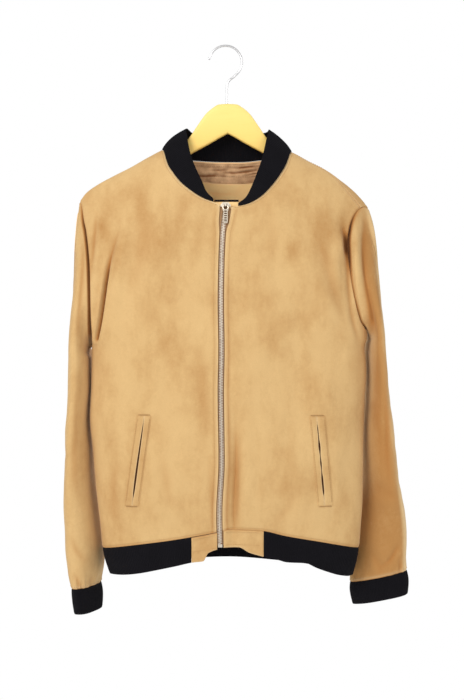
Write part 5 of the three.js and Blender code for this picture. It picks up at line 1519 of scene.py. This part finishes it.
def inside_back(name, node, row_from, row_to, count, seed, material, wrinkles, sink):
    u = steps(SIDE_COLS + 1, SIDE_COLS + 5, 90)[None, :]
    r = np.linspace(row_from, row_to, count)[:, None]
    c, r = np.broadcast_arrays(u, r)
    p, n = back_at(c, r)
    extra = np.interp(c, [10, 12, 13, 14], [0, 0, 0.6, 3])
    across, down = along(p, 1), along(p, 0)
    edges = soft(across, 6) * soft(across[:, -1:] - across, 6) * soft(down, 5) * soft(down[-1:, :] - down, 5)
    depth, shade = crease_field(p, wrinkles)
    low = (sink - depth * 0.9 - rumple(p, seed, 0.35)) * edges
    flat_form = p - n * (SUEDE + 1.05 + extra + np.clip(low, -0.6, 2.5))[..., None]
    # painted shade in the wrinkles and along a line just below the facing's top stitching
    values = {"painted_shade": np.clip(shade * 2.2, 0, 0.75) + 0.25 * beside(down - 6.5, 0.8) * (sink > 0)}
    cloth(name, node, flat_form, -n, LINING, False, material, values)
    return flat_form, -n, down


WRINKLES_FACING = [
    [(-62, -199, 1.6, 0), (-40, -202, 2.0, 1.6), (-16, -201, 1.8, 1.1), (8, -203, 1.6, 0)],
    [(-6, -196, 1.5, 0), (14, -197, 1.8, 1.3), (36, -195, 1.8, 1.5), (56, -192, 1.5, 0)],
    [(18, -190, 1.4, 0), (32, -188, 1.5, 1.2), (50, -186, 1.4, 0)],
    [(-30, -192, 1.6, 0), (-10, -193, 1.6, 0.7), (6, -191, 1.4, 0)],
    [(34, -201, 1.4, 0), (46, -198, 1.5, 0.9), (60, -198, 1.3, 0)],
]
WRINKLES_LINING = [
    [(-44, -226, 3, 0), (-14, -231, 3, 0.9), (20, -229, 3, 0)],
    [(-20, -246, 4, 0), (10, -250, 4, 0.8), (34, -246, 4, 0)],
]
facing, facing_out, facing_down = inside_back("back_neck_facing_cloth", "back_neck_facing", 19.94, 19.445,
                                              48, 91, FACING_CLOTH, WRINKLES_FACING, 0.4)
inside_back("back_lining_cloth", "back_lining", 19.42, 16, 110, 97,
            LINING_CLOTH, WRINKLES_LINING, 0.0)
line = {"grid": facing, "normals": facing_out, "down": facing_down}
neck_sewing = stitch_parts(*at_height(line, "down", 4.6, range(1, 90)))
neck_sewing += stitch_parts(*at_height(line, "down", float(facing_down[-1].min()) - 3, range(1, 90)))
sew("facing_stitching", neck_sewing, TAUPE_THREAD)


# Zip

SLIDER_Z = -262
CHAIN_TOP = SLIDER_Z - 3
CHAIN_LOW = -786


def zip_middle(z):
    return table(ZIP, z, 1)


def zip_line(x, z):
    return body(x, root_of(x, z, -1))


def zip_strip(x0, x1, top, low, rows, columns, depth):
    z = np.linspace(top, low, rows + 1)[:, None]
    x = zip_middle(z) + np.linspace(x0, x1, columns + 1)[None, :]
    p = zip_line(*np.broadcast_arrays(x, z))
    p[..., 1] += depth
    return p


def facing_out_of(g):
    n = grid_normals(g, False, False)
    return np.where(n[..., 1:2] > 0, -n, n)


for side, x0, x1, top in (("left", -16, -ZIP_HALF - 0.5, -259.5), ("right", ZIP_HALF + 0.5, 16, -263.5)):
    strip = zip_strip(x0, x1, top, CHAIN_LOW - 2, 130, 6, 2.5)
    cloth("zip_tape_" + side + "_cloth", "zip_tape_" + side, strip, facing_out_of(strip), 1.0, False,
          TAPE_CLOTH, {"painted_shade": np.zeros(strip.shape[:2])})

# pitch of the teeth along one side of the chain, and the height of each tooth
TOOTH_PITCH = 2.5
TOOTH_HIGH = 1.6


def tooth(z, hand):
    at = float(zip_middle(z))
    near = zip_line(np.array([at, at]), np.array([z - 1.0, z + 1.0]))
    up = unit(near[1] - near[0])
    centre = near.mean(0) + [0, 0.2, 0]
    across = np.array([1.0, 0, 0])
    deep = unit(np.cross(up, across))
    deep = deep if deep[1] > 0 else -deep
    points = []
    for level, inset in ((2.2, 0.0), (0.55, 0.0), (0.0, 0.3)):
        for a, b in ((-1, -1), (1, -1), (1, 1), (-1, 1)):
            reach = (ZIP_HALF - inset) if a * hand > 0 else (0.75 - inset * 0.5)
            high = TOOTH_HIGH / 2 - inset * 0.8
            points.append(centre + across * (a * reach) + up * b * high + deep * level)
    faces = [[0, 1, 2, 3]]
    faces += tube_faces(3, 4, turned=True)
    faces.append([11, 10, 9, 8])
    return points, faces


teeth = []
z = CHAIN_TOP - 1.2
hand = 1
while z > CHAIN_LOW + 0.8:
    teeth.append(tooth(z, hand))
    z -= TOOTH_PITCH / 2
    hand = -hand
points, faces = joined(teeth)
chain = mesh_object("zip_teeth", points, faces, ZIP_STEEL, smooth=False)
core = zip_strip(-ZIP_HALF + 0.3, ZIP_HALF - 0.3, CHAIN_TOP - 0.3, CHAIN_LOW + 0.3, 130, 4, 1.35)
# painted shade: the cord deep between the teeth is darkened towards the deep tape colour
cloth("zip_cord", None, core, facing_out_of(core), 0.6, False, TAPE_CLOTH,
      {"painted_shade": np.full(core.shape[:2], 0.7)})
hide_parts("zip_chain")


# Guard behind the open top of the zip, with its dark binding


def guard_form(z0, z1, x0, x1, depth, wide, rows=14, columns=40):
    t = steps(0, 1, rows)[:, None]
    q = steps(-1, 1, columns)[None, :]
    z = z0 + (z1 - z0) * t
    x = np.where(q < 0, x0 * -q, x1 * q) * (np.interp(t, [0, 0.5, 1], [0.68, 1, 1]) if wide else 1)
    near = np.interp(q, [-1, -0.7, 0.7, 1], [1, 0, 0, 1]) * (np.clip(2 * t, 0, 1) if wide else 0)
    p = zip_line(*np.broadcast_arrays(x, z))
    p[..., 1] += depth + (SUEDE + 0.6 - depth) * near
    return p


guard = guard_form(-253, -303, -28, 28, 6.8, True)
cloth("zip_guard_cloth", "zip_guard", guard, facing_out_of(guard), 1.2, False, LINING_CLOTH,
      {"painted_shade": np.zeros(guard.shape[:2])})
binding = guard_form(-249.4, -252.6, -18, 20, 6.2, False)
puff = np.sin(steps(0, 1, 14) * math.pi)[:, None] * 0.5
binding = binding + facing_out_of(binding) * puff[..., None]
cloth("zip_guard_binding_knit", "zip_guard_binding", binding, facing_out_of(binding), 2.2, False,
      RIB_KNIT, {"painted_shade": np.zeros(binding.shape[:2])})


# Pull tab: a frame with rungs over a dark plate painted as the shadow between them, laid in the slider's own
# slope

slope_line = zip_line(np.array([0.0, 0.0]), np.array([-262.0, -290.0]))
SLOPE = math.atan2(slope_line[0, 1] - slope_line[1, 1], 28)
slider_x = float(zip_middle(SLIDER_Z))
chain_face = float(zip_line(np.array(slider_x), np.array(float(SLIDER_Z)))[1]) + 0.2
PIVOT_Y = -3.4
PIVOT_Z = 3


def laid_on_zip(points):
    """Points in the slider's own frame, y 0 at the front of the chain, as places on the jacket."""
    p = np.asarray(points, float)
    c, s = math.cos(SLOPE), math.sin(SLOPE)
    y, z = p[:, 1] * c + p[:, 2] * s, -p[:, 1] * s + p[:, 2] * c
    return np.stack([p[:, 0] + slider_x, y + chain_face, z + SLIDER_Z], -1)


def bevelled_bar(x0, x1, y0, y1, z0, z1, cut=0.25):
    """A bar whose long edges are cut off."""
    xs, zs = (x0, x1), (z0, z1)
    points = []
    for y, inset in ((y0, cut), (y0 + cut, 0), (y1 - cut, 0), (y1, cut)):
        points += [(xs[0] + inset, y, zs[0] + inset), (xs[1] - inset, y, zs[0] + inset),
                   (xs[1] - inset, y, zs[1] - inset), (xs[0] + inset, y, zs[1] - inset)]
    faces = [[0, 1, 2, 3], [15, 14, 13, 12]]
    faces += tube_faces(4, 4, turned=True)
    return points, faces


def pull_tab():
    parts = []
    ring = []
    for i in range(28):
        a = 2 * math.pi * i / 28
        for j in range(8):
            b = 2 * math.pi * j / 8
            r = 4.0 + 0.85 * math.cos(b)
            ring.append((r * math.cos(a), 0.68 * math.sin(b), -4.1 + r * math.sin(a) * 1.05))
    faces = [[i * 8 + j, ((i + 1) % 28) * 8 + j, ((i + 1) % 28) * 8 + (j + 1) % 8, i * 8 + (j + 1) % 8]
             for i in range(28) for j in range(8)]
    parts.append((ring, faces))
    parts.append(bevelled_bar(-3.3, -2.0, -0.7, 0.7, -28.6, -7.4))
    parts.append(bevelled_bar(2.0, 3.3, -0.7, 0.7, -28.6, -7.4))
    for z in (-8.6, -12.2, -15.8, -19.4, -23.0, -26.6, -29.0):
        parts.append(bevelled_bar(-2.7, 2.7, -0.62, 0.6, z - 0.75, z + 0.75, 0.2))
    return parts


points, faces = joined(pull_tab())
pull = mesh_object("zip_pull_tab", laid_on_zip(np.asarray(points) + [0, PIVOT_Y, PIVOT_Z]), faces,
                   ZIP_STEEL, body_name="pull")
edge_angle(pull, 35)
# a dark plate behind the rungs, painted as the shadow in the openings of the tab
points, faces = bevelled_bar(-2.6, 2.6, -0.25, 0.35, -28.9, -7.6, 0.1)
pull_shadow_plate = mesh_object("zip_pull_shadow_plate", laid_on_zip(np.asarray(points) + [0, PIVOT_Y, PIVOT_Z]), faces,
                    ZIP_HOLE_SHADOW, body_name="pull")
edge_angle(pull_shadow_plate, 35)
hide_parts("zip_pull")
# a dark disc at the slider's top, painted as the shadow in its hole
rim_points = []
for y, r in ((-1.98, 1.9), (-1.98, 2.4), (-1.86, 2.75), (-1.66, 2.8)):
    rim_points += [(r * math.cos(2 * math.pi * i / 24), y, -1.1 + r * math.sin(2 * math.pi * i / 24))
                   for i in range(24)]
faces = tube_faces(4, 24)
faces += [list(range(24))[::-1], list(range(72, 96))]
slider_eye_shadow = mesh_object("zip_slider_eye_shadow", laid_on_zip(rim_points), faces, ZIP_HOLE_SHADOW)
edge_angle(slider_eye_shadow, 35)


# Hanger

MID = 3
# distance from the middle, top, underside
WOOD = [
    (0, -91.5, -139), (14, -92.5, -146.5), (24, -98, -152.5), (34, -106.5, -158), (48, -125.5, -165.5),
    (59, -142, -171.5), (68, -153.5, -177), (80, -170.5, -188.5), (98, -184.5, -202.5), (120, -192.5, -211.5),
    (145, -203.5, -223), (170, -219.5, -239), (186, -232, -250), (193, -240, -255),
]
WOOD_HALF = 6.5


def wooden_hanger():
    reach = np.concatenate([-np.array([197, 196.4, 195.4, 194.2]), np.linspace(-193, 193, 211),
                            np.array([194.2, 195.4, 196.4, 197])])
    points = []
    around = 44
    for d in reach:
        far = min(abs(d), 193)
        top, low = float(table(WOOD, far, 1)), float(table(WOOD, far, 2))
        past = max(0, abs(d) - 193) / 4
        round_off = math.sqrt(max(0, 1 - (past * 0.92) ** 2))
        mid_z = (top + low) / 2
        tall = (top - low) / 2 * (0.35 + 0.65 * round_off)
        half = WOOD_HALF * (0.4 + 0.6 * round_off)
        for i in range(around):
            a = 2 * math.pi * i / around
            c, s = math.cos(a), math.sin(a)
            points.append((MID + d, half * math.copysign(abs(c) ** 0.4, c),
                           mid_z + tall * math.copysign(abs(s) ** 0.4, s)))
    faces = tube_faces(len(reach), around)
    last = (len(reach) - 1) * around
    faces += [list(range(around))[::-1], [last + i for i in range(around)]]
    return points, faces


points, faces = wooden_hanger()
wood = mesh_object("hanger_wood_arms", points, faces, HANGER_WOOD)
edge_angle(wood, 50)
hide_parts("hanger_wood")

WIRE = 1.75
HOOK_R = 26.25
HOOK_Z = -HOOK_R + WIRE


def steel_hook():
    bow = [(-0.8 + HOOK_R * math.cos(math.radians(a)), HOOK_Z + HOOK_R * math.sin(math.radians(a)))
           for a in np.linspace(172, -42, 90)]
    bend = [bow[-1], (12.2, -48.4), (6.6, -52.6), (3, -57.4), (1.6, -63.5), (1.4, -72), (1.4, -91.2)]
    tail = through(np.array(bend), np.linspace(0, 6, 60))[1:]
    line = np.array(bow + [tuple(p) for p in tail])
    points, around = [], 16
    tip = len(line)
    for i, (x, z) in enumerate(line):
        d = unit(line[min(tip - 1, i + 1)] - line[max(0, i - 1)])
        r = WIRE * (0.55 if i == 0 else 0.85 if i == 1 else 1)
        for k in range(around):
            w = 2 * math.pi * k / around
            points.append((x + d[1] * r * math.cos(w), r * math.sin(w), z - d[0] * r * math.cos(w)))
    faces = tube_faces(tip, around)
    faces += [list(range(around))[::-1], [(tip - 1) * around + i for i in range(around)]]
    return points, faces


points, faces = steel_hook()
hook = mesh_object("hanger_hook_wire", points, faces, HOOK_STEEL)
edge_angle(hook, 50)
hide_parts("hanger_hook")


# Finishes for the small zip parts that keep their own shape
for node in ("zip_slider", "zip_box", "zip_stop_left", "zip_stop_right"):
    held_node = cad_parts[node]
    held_node.data.materials.clear()
    held_node.data.materials.append(ZIP_STEEL)


# Camera, floor and light

camera_data = bpy.data.cameras.new("camera")
camera_data.sensor_fit = "VERTICAL"
camera_data.angle = 2 * math.atan(0.560 / 2.0)
camera = bpy.data.objects.new("camera", camera_data)
camera.location = (0.0096, -2.0, -0.485)
camera.rotation_euler = (math.radians(90), 0, 0)
bpy.context.scene.collection.objects.link(camera)
bpy.context.scene.camera = camera

floor_mesh = bpy.data.meshes.new("pale_floor")
floor_mesh.from_pydata([(-1.6, -1.6, -1.32), (1.6, -1.6, -1.32), (1.6, 0.8, -1.32), (-1.6, 0.8, -1.32)], [],
                       [(0, 1, 2, 3)])
floor = bpy.data.objects.new("pale_floor", floor_mesh)
floor_mesh.materials.append(blank("pale_floor", Base_Color=(0.86, 0.86, 0.86, 1), Roughness=0.8)[0])
bpy.context.scene.collection.objects.link(floor)

world = bpy.data.worlds.new("white_studio")
bpy.context.scene.world = world
world.use_nodes = True
tree = world.node_tree
tree.nodes.clear()
seen = add(tree, "ShaderNodeBackground", {"Color": (1, 1, 1, 1), "Strength": 1.0})
lit = add(tree, "ShaderNodeBackground", {"Color": (1, 0.99, 0.975, 1), "Strength": 0.62})
path = add(tree, "ShaderNodeLightPath")
either = add(tree, "ShaderNodeMixShader",
             {0: path.outputs["Is Camera Ray"], 1: lit.outputs[0], 2: seen.outputs[0]})
add(tree, "ShaderNodeOutputWorld", {"Surface": either.outputs[0]})
bpy.context.scene.view_settings.view_transform = "Standard"
bpy.context.scene.view_settings.look = "None"


def softbox(name, place, aim, size, power, colour=(1, 0.985, 0.96)):
    data = bpy.data.lights.new(name, "AREA")
    data.shape = "RECTANGLE"
    data.size, data.size_y = size
    data.energy = power
    data.color = colour
    made = bpy.data.objects.new(name, data)
    made.location = place
    made.rotation_euler = (Vector(aim) - Vector(place)).to_track_quat("-Z", "Y").to_euler()
    bpy.context.scene.collection.objects.link(made)


softbox("key", (-1.5, -2.1, 0.7), (0, 0, -0.45), (1.5, 1.5), 46)
softbox("fill", (1.7, -1.9, 0.1), (0, 0, -0.5), (1.6, 1.6), 14)
softbox("back_light", (0.4, 2.2, 0.6), (0, 0, -0.4), (1.6, 1.4), 26)
